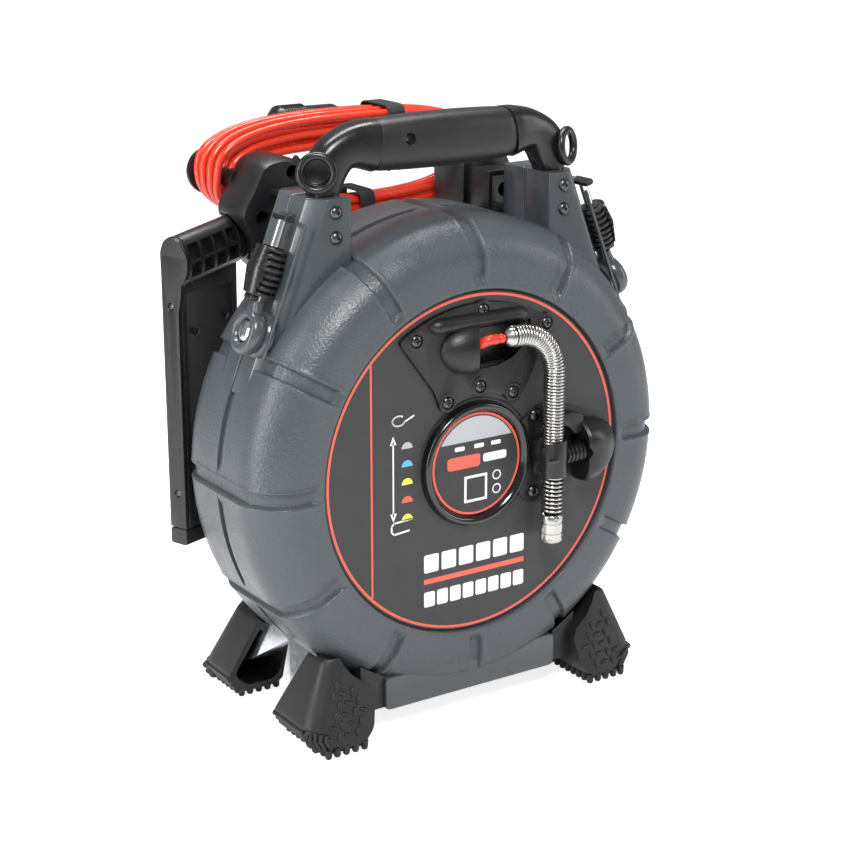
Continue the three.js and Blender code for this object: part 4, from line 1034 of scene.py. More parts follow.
# ---------------------------------------------------------------- drum and its fittings
def drum():
    low, high = case_box("drum")
    r = (high.x - low.x) / 2
    y0, y1 = low.y, low.y + 80
    outline = [(0, y0), (24, y0), (25, y0 + 1), (25, y1 - 3), (r - 3, y1 - 3), (r - 3, y0 + 3), (119, y0 + 3),
               (118, y0 + 1.5), (119, y0), (r - 1, y0), (r, y0 + 1), (r, y1 - 1), (r - 1, y1), (11.7, y1),
               (11.7, high.y), (0, high.y)]
    piece("drum_shell", turned(outline, segments=96), DRUM, "drum_body", ["drum"], angle=35)
    coil = []
    turns, layers = 8, 5
    for layer in range(layers):
        ring = r - 12 - layer * 7.4
        for turn in range(turns):
            y = 34 + turn * 7.4 + (3.7 if layer % 2 else 0)
            section = [(ring + 3.6 * math.cos(2 * math.pi * k / 10), y + 3.6 * math.sin(2 * math.pi * k / 10))
                       for k in range(10)]
            coil.append(turned(section, segments=72))
    piece("wound_cable", join(*coil), ORANGE, "drum_body", ["push_cable_coil"], angle=180)
    low, high = case_box("front_centre")
    cone = [(0, low.y), (11.4, low.y), (12, low.y + 0.6), (22, low.y + 10), (22, high.y), (0, high.y)]
    piece("centre_cone", turned(cone, segments=64), BRASS, "drum_body", ["front_centre"], angle=30)
    low, high = case_box("rear_bearing")
    rings = []
    for a, b in ((12.1, 14.6), (19.2, 22)):
        rings.append(turned([(a, low.y + 0.4), (a + 0.4, low.y), (b - 0.4, low.y), (b, low.y + 0.4), (b, high.y - 0.4),
                             (b - 0.4, high.y), (a + 0.4, high.y), (a, high.y - 0.4)], segments=56))
    for k in range(11):
        x, z = polar(16.9, 360 * k / 11)
        rings.append(ball((x, (low.y + high.y) / 2, z), (2.3, 2.3, 2.3), 16, 8))
    piece("ball_bearing", join(*rings), PLAIN_STEEL, "rear_half", ["rear_bearing"], angle=35)
    low, high = case_box("slip_ring")
    bands = [(0, low.y), (9.6, low.y)]
    for k in range(3):
        y = low.y + 0.8 + k * 1.4
        bands += [(9.6, y), (10, y + 0.15), (10, y + 0.85), (9.6, y + 1.0)]
    bands += [(9.6, high.y), (0, high.y)]
    piece("slip_ring_bands", turned(bands, segments=48), BRASS, "rear_half", ["slip_ring"], angle=30)
    low, high = case_box("case_hinge_pin")
    mid = (low + high) / 2
    piece("hinge_pin", rod((low.x, mid.y, mid.z), (high.x, mid.y, mid.z), 2.45, 28), PLAIN_STEEL, "rear_half",
          ["case_hinge_pin"], angle=35)


# ---------------------------------------------------------------- carry handle
GRIP = middle("grip_screw")
GRIP_Y = 45.0
GRIP_Z = 216.0
GRIP_HALF = (case_box("grip_front")[1].x - case_box("grip_front")[0].x) / 2


def handle_arm(side):
    """Centre line (x, z) and half sizes of one arm, from inside its tower to the grip's end."""
    stations = [(92, 154, 8.2, 10.6), (92, 172, 8.2, 10.6), (91.6, 186, 9.4, 10.6), (90.6, 195, 12.6, 10.8),
                (88.4, 203, 13.9, 11.2), (84, 209.6, 13.8, 11.7), (77.6, 214.4, 13.4, 12.4), (69, 216.8, 14.8, 13.6),
                (60.5, 216.9, 16.5, 14.8), (54.6, 216.2, 17.4, 15.2)]
    path = spline([(x, 0, z) for x, z, u, v in stations], 4)
    halves = spline([(u, v, 0) for x, z, u, v in stations], 4)
    sections = []
    for i, spot in enumerate(path):
        tangent = (path[min(i + 1, len(path) - 1)] - path[max(i - 1, 0)]).normalized()
        across = Vector((-tangent.z, 0, tangent.x))
        u, v = halves[i].x, halves[i].y
        section = super_section(u, v, 36, 0.72)
        centre_y = 44.5 + 0.5 * smoothstep(0, len(path), i)
        sections.append([spot + across * a + Vector((0, centre_y + b, 0)) for a, b in section])
    return mirrored(loft(sections), side)


def eyelet_frame(side):
    """Centre and axis of the ring for the carrying strap at the root of a handle arm."""
    return Vector((side * 100, 36.5, 203)), Vector((side * 0.5, -0.85, 0.1)).normalized()


def handle():
    arms = [handle_arm(-1), handle_arm(1)]
    inner_core = block(-GRIP_HALF - 4, GRIP_HALF + 4, GRIP_Y - 7, GRIP_Y + 7, GRIP_Z - 9, GRIP_Z + 9)
    holes = []
    for side in (-1, 1):
        centre, axis = eyelet_frame(side)
        holes.append(rod(centre - axis * 13, centre + axis * 20, 8.4, 36))
    piece("handle_bow", join(*arms, inner_core), BLACK_SMOOTH, "front_half", ["handle_frame"],
          angle=50, cuts=holes)
    for side in (-1, 1):
        centre, axis = eyelet_frame(side)
        ring = [(8.4 + 2.7 * (1 - math.cos(a)), 1.4 + 2.9 * math.sin(a)) for a in [2 * math.pi * k / 14 for k in range(14)]]
        piece(f"strap_eye_{side_name(side)}", aimed(lathe(ring, 56), centre, axis), BLACK_SMOOTH, "front_half",
              angle=60)
        node = f"strap_pin_{side_name(side)}"
        low, high = case_box(node)
        bar_y = (low.y + high.y) / 2 + 1
        spool = [(0, 0), (3.2, 0), (3.2, 1.4), (2.2, 2.4), (1.9, 11), (2.2, 19.6), (3.2, 20.6), (3.2, 22), (0, 22)]
        axis = Vector((side * 0.9, 0, 0.43)).normalized()
        start = Vector((side * (POST_X + 4), bar_y, 205)) - axis * 11
        piece(f"strap_bar_{side_name(side)}", aimed(lathe(spool, 28, closed=False), start, axis), SCREW,
              "front_half", [node], angle=40)
    grips()


def grips():
    low, high = case_box("grip_screw")
    screw_x, screw_z = (low.x + high.x) / 2, (low.z + high.z) / 2
    for front in (True, False):
        sections = []
        steps = 24
        for k in range(steps + 1):
            t = -1 + 2 * k / steps
            x = t * GRIP_HALF
            swell = 1.04 - 0.09 * t * t
            ease = 1 - 0.03 * smoothstep(0.96, 1.0, abs(t))
            full = super_section(15.4 * swell * ease, 17.9 * swell * ease, 64, 0.80)
            half = [p for p in full if (p[0] <= 1e-6) == front or abs(p[0]) < 1e-6]
            half.sort(key=lambda p: math.atan2(p[1], -p[0] if front else p[0]))
            shut = -0.15 if front else 0.15
            points = [(x, GRIP_Y + (min(y, shut) if front else max(y, shut)), GRIP_Z + z) for y, z in half]
            sections.append(points)
        name = "front" if front else "rear"
        cuts = [rod((screw_x, 0, screw_z), (screw_x, GRIP_Y - 11, screw_z), 4.0, 32)] if front else []
        piece(f"grip_sleeve_{name}", loft(sections), SOFT, "front_half", [f"grip_{name}"],
              bevel=0.4, segments=2, angle=48, cuts=cuts)
    dots = [ball((x, GRIP_Y - 6.5, GRIP_Z - 16.6), (0.9, 0.9, 0.9), 12, 6) for x in range(-44, 48, 8)]
    piece("grip_dots", join(*dots), SOFT, "front_half")
    cross_screw("grip_cross_screw", "grip_screw", "front_half", SCREW,
                seat=(screw_x, low.y + 1.6, screw_z), radius=3.1)


# ---------------------------------------------------------------- side latches
def joint(name):
    return next(j for j in frame["joints"] if j["name"] == name)


def latch_frame(side):
    """Case-frame matrix whose Z runs up the latch rod and whose X points away from the case."""
    info = joint(f"latch_swing_{side_name(side)}")
    pivot = (Vector(info["pos_m"]) - ORIGIN) / MM
    out = Vector(info["axis"]) * (1 if side > 0 else -1)
    up = Vector((-side * math.sin(LEAN), 0, math.cos(LEAN)))
    back = Vector((0, 1, 0))
    return Matrix(((out.x, back.x, up.x, pivot.x), (out.y, back.y, up.y, pivot.y),
                   (out.z, back.z, up.z, pivot.z), (0, 0, 0, 1)))


def latch(side):
    place = latch_frame(side)
    name = side_name(side)
    body = f"latch_{name}"
    shaft = [(0, 11), (3.1, 11), (3.1, 76), (0, 76)]
    head = fillet([(-9, -6.5), (9, -6.5), (10.5, 0), (9, 6.5), (-9, 6.5), (-10.5, 0)], 2, 3, True)
    bar = loft([[(y * grow * 0.55, x * grow, z) for x, y in head] for z, grow in ((74.4, 0.7), (75.4, 1), (78, 1))])
    piece(f"latch_shaft_{name}", moved(lathe(shaft, 24, closed=False), place), CHROME, body,
          angle=35)
    piece(f"latch_cross_bar_{name}", moved(bar, place), BLACK_SMOOTH, body, bevel=0.7)
    eye = [(7.9, -4.6), (13.6, -5), (14.9, -3.8), (15.4, 0), (14.9, 2.8), (13.6, 4.6), (11.6, 5.2), (9.4, 4.6),
           (7.9, 2.4)]
    neck = loft([[(x * u, y * v, z) for x, y in super_section(1, 1, 24, 0.7)]
                 for z, u, v in ((9.6, 4.2, 8.4), (14, 4.2, 7.4), (18.4, 4.4, 5.6), (20.6, 4.2, 5.2))])
    piece(f"latch_eye_{name}", moved(aimed(lathe(eye, 48), (0, 0, 0), (1, 0, 0)), place), SHELL_SMOOTH, body,
          [f"latch_rod_{name}"], angle=50, adds=[moved(neck, place)])
    latch_sleeve(side, place)
    screw = aimed(lathe([(0, -8.8), (3.9, -8.8), (3.9, 0.4), (6.9, 0.4), (7.2, 0.9), (6.8, 2.4), (5.2, 3.6), (2.6, 4.3),
                         (0, 4.5)], 40, closed=False), (0, 0, 0), (1, 0, 0))
    slots = [block(2.2, 8, -a, a, -b, b) for a, b in ((4.4, 0.9), (0.9, 4.4))]
    piece(f"latch_cross_screw_{name}", moved(screw, place), CHROME, "front_half", [f"latch_screw_{name}"],
          angle=35, cuts=[moved(s, place) for s in slots])
    boss = aimed(lathe([(0, -11), (15.6, -11), (14.6, -6.4), (13.4, -5.6), (0, -5.6)], 56, closed=False),
                 (0, 0, 0), (1, 0, 0))
    piece(f"latch_boss_{name}", moved(boss, place), SHELL_SMOOTH, "front_half", angle=60)


def latch_sleeve(side, place):
    """The ribbed rubber sleeve: fins round a barrel, with a wide smooth spine on its outer face."""
    name = side_name(side)
    bottom, fins, pitch = 24.0, 8, 4.25
    profile = [(3.35, bottom)]
    for k in range(fins):
        z = bottom + k * pitch
        belly = 9.4 + 2.6 * (1 - abs(2 * (k + 0.5) / fins - 1))
        profile += [(belly - 3.0, z), (belly - 0.4, z + 0.2), (belly, z + 0.7), (belly, z + 1.9), (belly - 0.4, z + 2.4),
                    (belly - 3.0, z + 2.7)]
    top = bottom + fins * pitch - 0.8
    profile += [(7.2, top), (3.35, top)]
    flat = block(-30, -7.8, -30, 30, 0, 90)
    piece(f"latch_sleeve_{name}", moved(lathe(profile, 40), place), SOFT, f"latch_sleeve_{name}",
          [f"latch_grip_{name}"], angle=40, cuts=[moved(flat, place)])
    spine = []
    teeth, steps = 4 * fins, 8
    for k in range(teeth + 1):
        z = bottom + 0.8 + (top - bottom - 1.6) * k / teeth
        t = abs(2 * k / teeth - 1)
        half = math.radians(60 - 26 * max(t - 0.3, 0) + (5 if k % 4 in (1, 2) else -5))
        belly = 9.4 + 2.6 * (1 - t)
        fan = [half * (2 * j / steps - 1) for j in range(steps + 1)]
        outer = [((belly + 1.3) * math.cos(a), (belly + 1.3) * math.sin(a), z) for a in fan]
        inner = [((belly - 2) * math.cos(a), (belly - 2) * math.sin(a), z) for a in reversed(fan)]
        spine.append(outer + inner)
    piece(f"latch_spine_{name}", moved(loft(spine), place), BLACK_SMOOTH, f"latch_sleeve_{name}",
          angle=45)
    lug = moved(block(2, 8, -5, 5, bottom - 3.6, bottom + 0.2), place)
    piece(f"latch_sleeve_lug_{name}", lug, BLACK_SMOOTH, f"latch_sleeve_{name}", bevel=1.2)


# ---------------------------------------------------------------- rubber feet
FOOT_LOW, FOOT_HIGH = -180.0, -118.0
FOOT_ROUND = 12.0


def foot_outline(inset=0.0):
    """Front-view outline of a foot: upright inside, flat sole, chamfer outside, and a top that hugs the case."""
    hug = [polar(167.0, a) for a in (-58, -53, -48.5)]
    outline = [(85, -149)] + hug + [(116.5, FOOT_HIGH), (120.5, -121), (139, -163), (137, -169), (126, FOOT_LOW),
                                    (97, FOOT_LOW), (89.5, -171)]
    outline = fillet(outline, [2, 0, 0, 2, 3, 5, 4, 4, 5, 5, 5], 4, True)
    return [(x - inset * smoothstep(92, 134, x), z + inset * 0.2 * smoothstep(-168, FOOT_LOW, z)) for x, z in outline]


def hollow_outline(inset):
    """Front-view outline of the room inside a foot."""
    arch = [polar(174.0, a) for a in (-57, -53, -49)]
    outline = [(95, -153)] + arch + [(118, -129), (133.4, -162), (131, -167), (122, -174.6), (101, -174.6), (95.5, -168)]
    middle_point = Vector((111, -156))
    result = []
    for corner in fillet(outline, 3, 3, True):
        spot = middle_point + (Vector(corner) - middle_point) * (1 - inset / 20)
        result.append((spot.x, spot.y))
    return result


def foot_depth(front):
    """How Y runs with height: (rim at the top, rim at the sole, tread at the top, tread at the sole)."""
    return (24.0, 46.0, 2.5, -12.8) if front else (93.0, 109.0, 130.0, 153.0)


def foot_y(front, t, z):
    """Y at share t from the open rim (0) to the tread face (1), at height z."""
    rim_top, rim_sole, tread_top, tread_sole = foot_depth(front)
    low = (FOOT_HIGH - z) / (FOOT_HIGH - FOOT_LOW)
    rim = rim_top + (rim_sole - rim_top) * low
    tread = tread_top + (tread_sole - tread_top) * low
    return rim + (tread - rim) * t


def foot_shape(front, outline_at, first, last, rounding):
    """The foot's wedge from share first to last of its depth, with its far edge rounded."""
    span = abs(foot_y(front, 1, -150) - foot_y(front, 0, -150))
    stops = [(first, 0.0)]
    for k in range(7):
        a = math.pi / 2 * k / 6
        stops.append((last - rounding * (1 - math.sin(a)) / span, rounding * (1 - math.cos(a))))
    return loft([[(x, foot_y(front, t, z), z) for x, z in outline_at(pull)] for t, pull in stops])


def foot(side, front):
    """A hollow rubber boot with a raised tread on its face and rows of lugs under its sole."""
    shape = mirrored(foot_shape(front, foot_outline, 0, 1, FOOT_ROUND), side)
    hollow = mirrored(foot_shape(front, hollow_outline, -0.2, 0.86, 5.0), side)
    skin = turned([(0, FACE_Y - 0.8), (FACE_R + 1.5, FACE_Y - 0.8), (CASE_R + 1, FACE_Y + CORNER - 0.8),
                   (CASE_R + 1, BACK_Y - CORNER + 0.8), (FACE_R + 1.5, BACK_Y + 0.8), (0, BACK_Y + 0.8)], segments=144)
    base = block(-BASE_HALF - 0.6, BASE_HALF + 0.6, 0.8, BACK_Y - 4, BASE_Z - 0.6, -100)
    name = f"{'front' if front else 'rear'}_{side_name(side)}"
    body = "front_half" if front else "rear_half"
    piece(f"foot_block_{name}", shape, RUBBER, body, [f"foot_{name}"], bevel=1.6, segments=3,
          angle=50, cuts=[hollow, skin, base])
    # A dark rubber block filling the gap between the base block and the foot: it stands in for the shade in that gap.
    shade_filler_ends = (4, PARTING - 3) if front else (PARTING + 3, BACK_Y - 8)
    socket = block(BASE_HALF - 0.4, 91, *shade_filler_ends, -165, -120)
    piece(f"foot_shade_filler_{name}", mirrored(socket, side), RUBBER, body, bevel=2.0, cuts=[skin])
    piece(f"foot_lugs_{name}", mirrored(foot_lugs(front), side), RUBBER, body, angle=60)
    piece(f"foot_welt_{name}", mirrored(foot_welts(front), side), RUBBER, body, angle=60)
    piece(f"foot_tread_{name}", mirrored(foot_tread(front), side), RUBBER, body, angle=60)


def lug(spot, down, radius=2.5, reach=4.4):
    """A blunt rubber stud that stands out along down."""
    profile = [(0, -3), (radius * 1.1, -3), (radius, reach - 1.6), (radius * 0.82, reach - 0.5), (radius * 0.5, reach),
               (0, reach)]
    return aimed(lathe(profile, 12, closed=False), spot, down)


def foot_lugs(front):
    """Studs in rows under the sole and along the chamfer beside it."""
    lugs = []
    rim, tread = foot_y(front, 0.06, FOOT_LOW), foot_y(front, 0.95, FOOT_LOW)
    rows = round(abs(tread - rim) / 6.4)
    spots = [(x, FOOT_LOW, 0) for x in (97, 104.2, 111.4, 118.6, 125.4)]
    spots += [(129.6, -176.6, 0.8), (133.4, -172, 0.8), (136.4, -166, 1.0)]
    for x, z, lean in spots:
        for j in range(rows + 1 if lean == 0 else 1):
            start = tread if lean == 0 else foot_y(front, 0.84, z)
            y = start + (rim - start) * j / rows
            lugs.append(lug((x, y, z), (lean, 0, -1 + lean * 0.4), 2.4, 4.0 if lean == 0 else 4.6))
    return join(*lugs)


def foot_welts(front):
    """Three scalloped steps beside the sole, and short flutes where they meet the tread's corner."""
    sign = -1 if front else 1
    welts = []
    for rise, radius in ((-9.0, 2.4), (-4.6, 2.2), (0, 2.0), (4.4, 1.5)):
        edge, rim = foot_y(front, 0.80, -166 + rise), foot_y(front, 0.0, -166 + rise)
        x = 137.6 - (rise * 0.43 if rise > 0 else -rise * 0.75)
        path = [(x, edge + (rim - edge) * k / 24, -166 + rise) for k in range(25)]
        welts.append(sweep(path, lambda t: super_section(
            radius * (1 + 0.07 * math.cos(math.pi * 24 * t)), radius, 10, 0.9)))
    for k in range(5):
        a = math.radians(8 + 17 * k)
        x = 137.4 - FOOT_ROUND * (1 - math.cos(a))
        y = foot_y(front, 1, -170) - sign * FOOT_ROUND * (1 - math.sin(a))
        welts.append(tube([(x - 4.6, y, -177), (x - 0.6, y, -170), (x - 1.4, y, -162 - k)], 1.6, 10))
    return join(*welts)


def foot_tread(front):
    """Raised ovals in staggered rows, turning the other way from one to the next, on the tread face."""
    sign = -1 if front else 1
    rim_top, rim_sole, tread_top, tread_sole = foot_depth(front)
    tilt = math.atan2(tread_top - tread_sole, FOOT_HIGH - FOOT_LOW)
    ovals = []
    for row in range(7):
        z = -170 + row * 6.9
        for column in range(6):
            x = 95 + column * 7.4 + (3.7 if row % 2 else 0)
            outer = 126 - (z + 170) * 0.30
            if math.hypot(x, z) < 173.5 or x > outer or (row == 0 and column == 0):
                continue
            lean = math.radians(76 if (row + column) % 2 else -18)
            turn = Matrix.Rotation(-tilt, 4, "X") @ Matrix.Rotation(lean, 4, "Y")
            spot = Matrix.Translation((x, foot_y(front, 1, z) + sign * 0.1, z))
            ovals.append(moved(ball((0, 0, 0), (3.4, 1.25, 1.5), 16, 8), spot @ turn))
    return join(*ovals)


# ---------------------------------------------------------------- dock brackets and horns
def dock_bracket(side):
    name = side_name(side)
    outline = fillet([(62, 128), (62, 188), (70, 199), (84, 202.5), (99, 199), (106, 184), (118, 166),
                      (112, 152), (97, 122)], 7, 5, True)
    front, back = BACK_Y - 8, BACK_Y + 30
    small = [(88 + (x - 88) * 0.9, 165 + (z - 165) * 0.92) for x, z in outline]
    sections = [[(x, y, z) for x, z in ring] for ring, y in ((small, front), (outline, front + 9), (outline, back - 5),
                                                             (small, back))]
    clear = turned([(0, 0), (CASE_R + 0.6, 0), (CASE_R + 0.6, BACK_Y - CORNER + 0.6), (FACE_R + 0.8, BACK_Y + 0.6),
                    (0, BACK_Y + 0.6)], segments=120)
    holes = [mirrored(rod((x, TOWER_BACK, z), (x, BACK_Y + 12, z), 5.0, 32), side) for x, z in ((76, 191), (100, 162))]
    tie = block(68, 94, TOWER_BACK + 0.5, BACK_Y - 4, 150, TOWER_TOP - 5)
    cuts = [clear] + holes
    if side < 0:
        cuts.append(dock_moved(rod((-2.3, -2, 0), (90, -2, 0), 18.4, 48)))
    piece(f"bracket_block_{name}", mirrored(loft(sections), side), BLACK, "rear_half", [f"dock_bracket_{name}"],
          bevel=1.6, segments=3, cuts=cuts)
    channel = [(68, 150), (94, 150), (94, 153.5), (71, 153.5), (71, 178), (94, 178), (94, 181.5), (68, 181.5)]
    ribs = prism_y(channel, TOWER_BACK + 0.5, BACK_Y - 3)
    piece(f"bracket_ribs_{name}", mirrored(ribs, side), BLACK, "rear_half", bevel=0.7,
          cuts=[clear])
    horn_low, horn_high = case_box(f"cable_flange_{name}")
    mid = (horn_low + horn_high) / 2
    horn = [(0, back - 8), (9.6, back - 8), (8.4, back), (8, back + 8), (8, horn_low.y), (0, horn_low.y)]
    piece(f"cable_horn_{name}", turned(horn, (mid.x, 0, mid.z), 40), BLACK_SMOOTH, "rear_half",
          angle=60)
    flange = [(0, horn_low.y), (14, horn_low.y), (16.4, horn_low.y + 0.6), (16.8, horn_low.y + 1.8), (16.4, horn_high.y),
              (15, horn_high.y), (13.2, horn_high.y - 1.2), (0, horn_high.y - 1.2)]
    piece(f"horn_flange_{name}", turned(flange, (mid.x, 0, mid.z), 56), BLACK_SMOOTH, "rear_half",
          [f"cable_flange_{name}"], angle=50)


# ---------------------------------------------------------------- monitor dock
TILT = joint("dock_tilt")
DOCK_AXIS = -Vector(TILT["axis"]).normalized()
DOCK_YAW = math.atan2(DOCK_AXIS.y, DOCK_AXIS.x)
DOCK_RISE = math.asin(-DOCK_AXIS.z)
DOCK_PIVOT = (Vector(TILT["pos_m"]) - ORIGIN) / MM
DOCK_WIDTH = 62.0
DOCK_BACK = -13.6
DOCK_FRONT = 1.0
DOCK_DROP = 207.0


def dock_matrix(sloped):
    """From the dock's own frame: X from the collar to the free end, Y to the case, Z up."""
    turn = Matrix.Rotation(DOCK_YAW, 4, "Z")
    place = Matrix.Translation(DOCK_PIVOT) @ turn @ Matrix.Translation((0, 2, 0))
    return place @ Matrix.Rotation(DOCK_RISE, 4, "Y") if sloped else place


def dock_moved(shape, sloped=True):
    return moved(shape, dock_matrix(sloped))


def dock():
    collar = [(0, -2), (15, -2), (16, -1), (16, 1.6), (15.4, 2.5), (4, 2.5), (4, DOCK_WIDTH - 4), (0, DOCK_WIDTH - 4)]
    neck = aimed(lathe(collar, 56, closed=False), (0, -2, 0), (1, 0, 0))
    piece("dock_neck", dock_moved(neck), BLACK_SMOOTH, "rear_half", ["dock_collar"], angle=40)

    hood = [(-2 + y, z) for y, z in super_section(11.6, 17, 44, 0.95)]
    barrel = prism_x(hood, 3, DOCK_WIDTH)
    bore = rod((-4, -2, 0), (DOCK_WIDTH - 3.6, -2, 0), 4.5, 32)
    windows = []
    for k in range(4):
        x = 8.5 + k * 12.6
        for z0, z1 in ((-11, -1.2), (0.4, 11.5)):
            windows.append(prism_x(fillet([(2.6, z0), (20, z0), (20, z1), (2.6, z1)], 0.8, 2, True), x, x + 10.4))
    piece("dock_barrel", dock_moved(barrel), BLACK, "dock_panel", ["dock_plate"], bevel=0.8,
          angle=40, cuts=[dock_moved(bore)] + [dock_moved(w) for w in windows])

    side = fillet([(DOCK_FRONT + 0.5, -2), (DOCK_FRONT, -34), (DOCK_FRONT, 12 - DOCK_DROP), (DOCK_BACK, 12 - DOCK_DROP),
                   (DOCK_BACK, -6)], 1.2, 3, True)
    slab = prism_x(side, 3, DOCK_WIDTH - 4.2)
    recess = block(7, DOCK_WIDTH - 9, DOCK_FRONT - 1.6, DOCK_FRONT + 9, 16 - DOCK_DROP, -30)
    piece("dock_slab", dock_moved(slab, False), BLACK, "dock_panel", bevel=0.9,
          cuts=[dock_moved(recess, False)])
    dock_cheek()
    studs = [rod((x, DOCK_FRONT - 3, z), (x, DOCK_FRONT - 0.4, z), 2.4, 20) for x, z in ((14, -52), (44, -58), (14, -172))]
    piece("dock_studs", dock_moved(join(*studs), False), BLACK_SMOOTH, "dock_panel")
    cap = fillet([(DOCK_BACK, -DOCK_DROP), (DOCK_FRONT, -DOCK_DROP), (DOCK_FRONT, 11.6 - DOCK_DROP),
                  (DOCK_BACK, 11.6 - DOCK_DROP)], 2, 3, True)
    piece("dock_foot_cap", dock_moved(prism_x(cap, 3, DOCK_WIDTH), False), BLACK, "dock_panel", ["dock_end_cap"],
          bevel=1.0)
    for name, top in (("upper", -76), ("lower", -120)):
        pad = fillet([(DOCK_BACK + 1, top), (DOCK_BACK - 5.6, top - 3.5), (DOCK_BACK - 7, top - 8), (DOCK_BACK - 7, top - 31),
                      (DOCK_BACK - 5, top - 37), (DOCK_BACK + 1, top - 41)], 2, 3, True)
        piece(f"dock_pad_{name}", dock_moved(prism_x(pad, 12, DOCK_WIDTH - 9), False), BLACK_SMOOTH, "dock_panel",
              [f"dock_hook_{name}"], bevel=1.2)


def dock_cheek():
    """The end cheek: a teardrop at the barrel that runs down into the slab's edge strip."""
    outline = []
    for k in range(19):
        a = math.radians(-60 + 220 * k / 18)
        outline.append((-2 + 12.6 * math.cos(a), 17.6 * math.sin(a)))
    outline += [(DOCK_BACK, -10), (DOCK_BACK, 12 - DOCK_DROP), (DOCK_FRONT, 12 - DOCK_DROP), (DOCK_FRONT, -40),
                (3.6, -24)]
    top = prism_x(outline, DOCK_WIDTH - 4.4, DOCK_WIDTH)
    slope = math.tan(DOCK_RISE)
    points = [Vector((p.x, p.y, p.z - DOCK_WIDTH * slope * smoothstep(-60, -10, p.z))) for p in top[0]]
    screws = [rod((DOCK_WIDTH - 1.4, -6, z), (DOCK_WIDTH + 3, -6, z), 2.6, 20) for z in (-38, -170)]
    piece("dock_cheek", dock_moved((points, top[1]), False), BLACK_SMOOTH, "dock_panel",
          bevel=1.2, segments=4, cuts=[dock_moved(s, False) for s in screws])
    heads = [rod((DOCK_WIDTH - 1.8, -6, z), (DOCK_WIDTH - 0.7, -6, z), 2.2, 20, 0.3) for z in (-38, -170)]
    piece("dock_cheek_screws", dock_moved(join(*heads), False), SCREW, "dock_panel")


# ---------------------------------------------------------------- system cable
def system_cable():
    """Loose turns of cable in three groups that fan apart at the ends and close up below."""
    low, high = case_box("system_cable")
    centre = (low + high) / 2
    half_x, half_z = (high.x - low.x) / 2, (high.z - low.z) / 2
    strand = 2.75
    rows, groups = 4, 3
    shapes = []
    for group in range(groups):
        for row in range(rows):
            inset = group * 9.5 + random.uniform(0, 3.2)
            share = row / (rows - 1)
            y = low.y + strand + share * (high.y - low.y - 2 * strand) - group * 1.2 * share
            phase, sway = random.uniform(0, 6.28), random.uniform(0.8, 2.2)
            loop = []
            count = 84
            for k in range(count):
                angle = 2 * math.pi * k / count
                c, s = math.cos(angle), math.sin(angle)
                under = smoothstep(0.1, -0.5, s)
                reach_x = half_x - strand - inset * (1 - 0.3 * under) - (8.0 if c < 0 else 2.0) * abs(c)
                reach_z = half_z - strand - inset * (1 - 0.62 * under)
                x = reach_x * math.copysign(abs(c) ** 0.76, c)
                z = reach_z * math.copysign(abs(s) ** 0.76, s)
                flat = y + (centre.y - y) * 0.45 * under
                wander = sway * math.sin(2 * angle + phase)
                loop.append(Vector((centre.x + x, min(max(flat + wander, low.y + strand), high.y - strand),
                                    centre.z + z - 0.3 * sway * math.cos(3 * angle + phase) * (1 - abs(s)))))
            shapes.append(tube(loop, strand, 12, loop=True))
    piece("cable_strands", join(*shapes), ORANGE, "rear_half", ["system_cable"], angle=180)


def strap(name, node, material):
    """A flat strap in a closed band, with rounded corners."""
    low, high = case_box(node)
    coil_low, coil_high = case_box("system_cable")
    upper = (low.z + high.z) / 2 > (coil_low.z + coil_high.z) / 2
    z0, z1 = (high.z - 20.4, high.z) if upper else (low.z, low.z + 20.4)
    y0, y1 = low.y, high.y
    steps = 5
    outer = fillet([(y0, z0), (y1 + 1.2, z0), (y1 + 1.2, z1), (y0, z1)], 8, steps, True)
    inner = fillet([(y0 + 1.3, z0 + 1.3), (y1 - 0.1, z0 + 1.3), (y1 - 0.1, z1 - 1.3), (y0 + 1.3, z1 - 1.3)], 6.7, steps, True)
    sections = []
    for outline, x in ((outer, low.x), (outer, high.x), (inner, high.x), (inner, low.x)):
        sections.append([(x, y, z) for y, z in outline])
    piece(name, loft(sections, loop=True), material, "rear_half", [node], bevel=0.3, segments=2)
    tail = block(low.x + 1, high.x - 1, y0 - 1.1, y0 + 0.4, z0 + 4, z1 - 4)
    piece(name + "_tail", tail, material, "rear_half", bevel=0.5)


def plug():
    low, high = case_box("cable_plug")
    mid = (low + high) / 2
    length = high.x - low.x
    profile = [(0, 0), (9.6, 0), (10.4, 0.8), (13, 3.4), (13.5, 5)]
    for k in range(9):
        x = 6 + k * 1.9
        profile += [(13.5, x), (12.9, x + 0.5), (12.9, x + 1.0), (13.5, x + 1.5)]
    profile += [(13.5, 24), (11.6, 26), (11.4, 50), (9.6, 54)]
    for k in range(6):
        x = 55 + k * 3.6
        profile += [(9 - k * 0.6, x), (9 - k * 0.6, x + 2.2), (7.6 - k * 0.6, x + 2.6), (7.6 - k * 0.6, x + 3.2)]
    profile += [(4.5, length - 1), (0, length)]
    piece("plug_body", aimed(lathe(profile, 48, closed=False), (low.x, mid.y, mid.z), (1, 0, 0)), BLACK_SMOOTH,
          "rear_half", ["cable_plug"], angle=40)
    coil_low, coil_high = case_box("system_cable")
    tail = spline([(high.x - 2, mid.y, mid.z), (high.x + 14, mid.y - 1, mid.z - 1), (high.x + 30, coil_high.y + 6, mid.z - 7),
                   (high.x + 44, coil_high.y - 4, coil_high.z - 22)], 8)
    piece("plug_tail", tube(tail, 2.75, 16), ORANGE, "rear_half", angle=60)


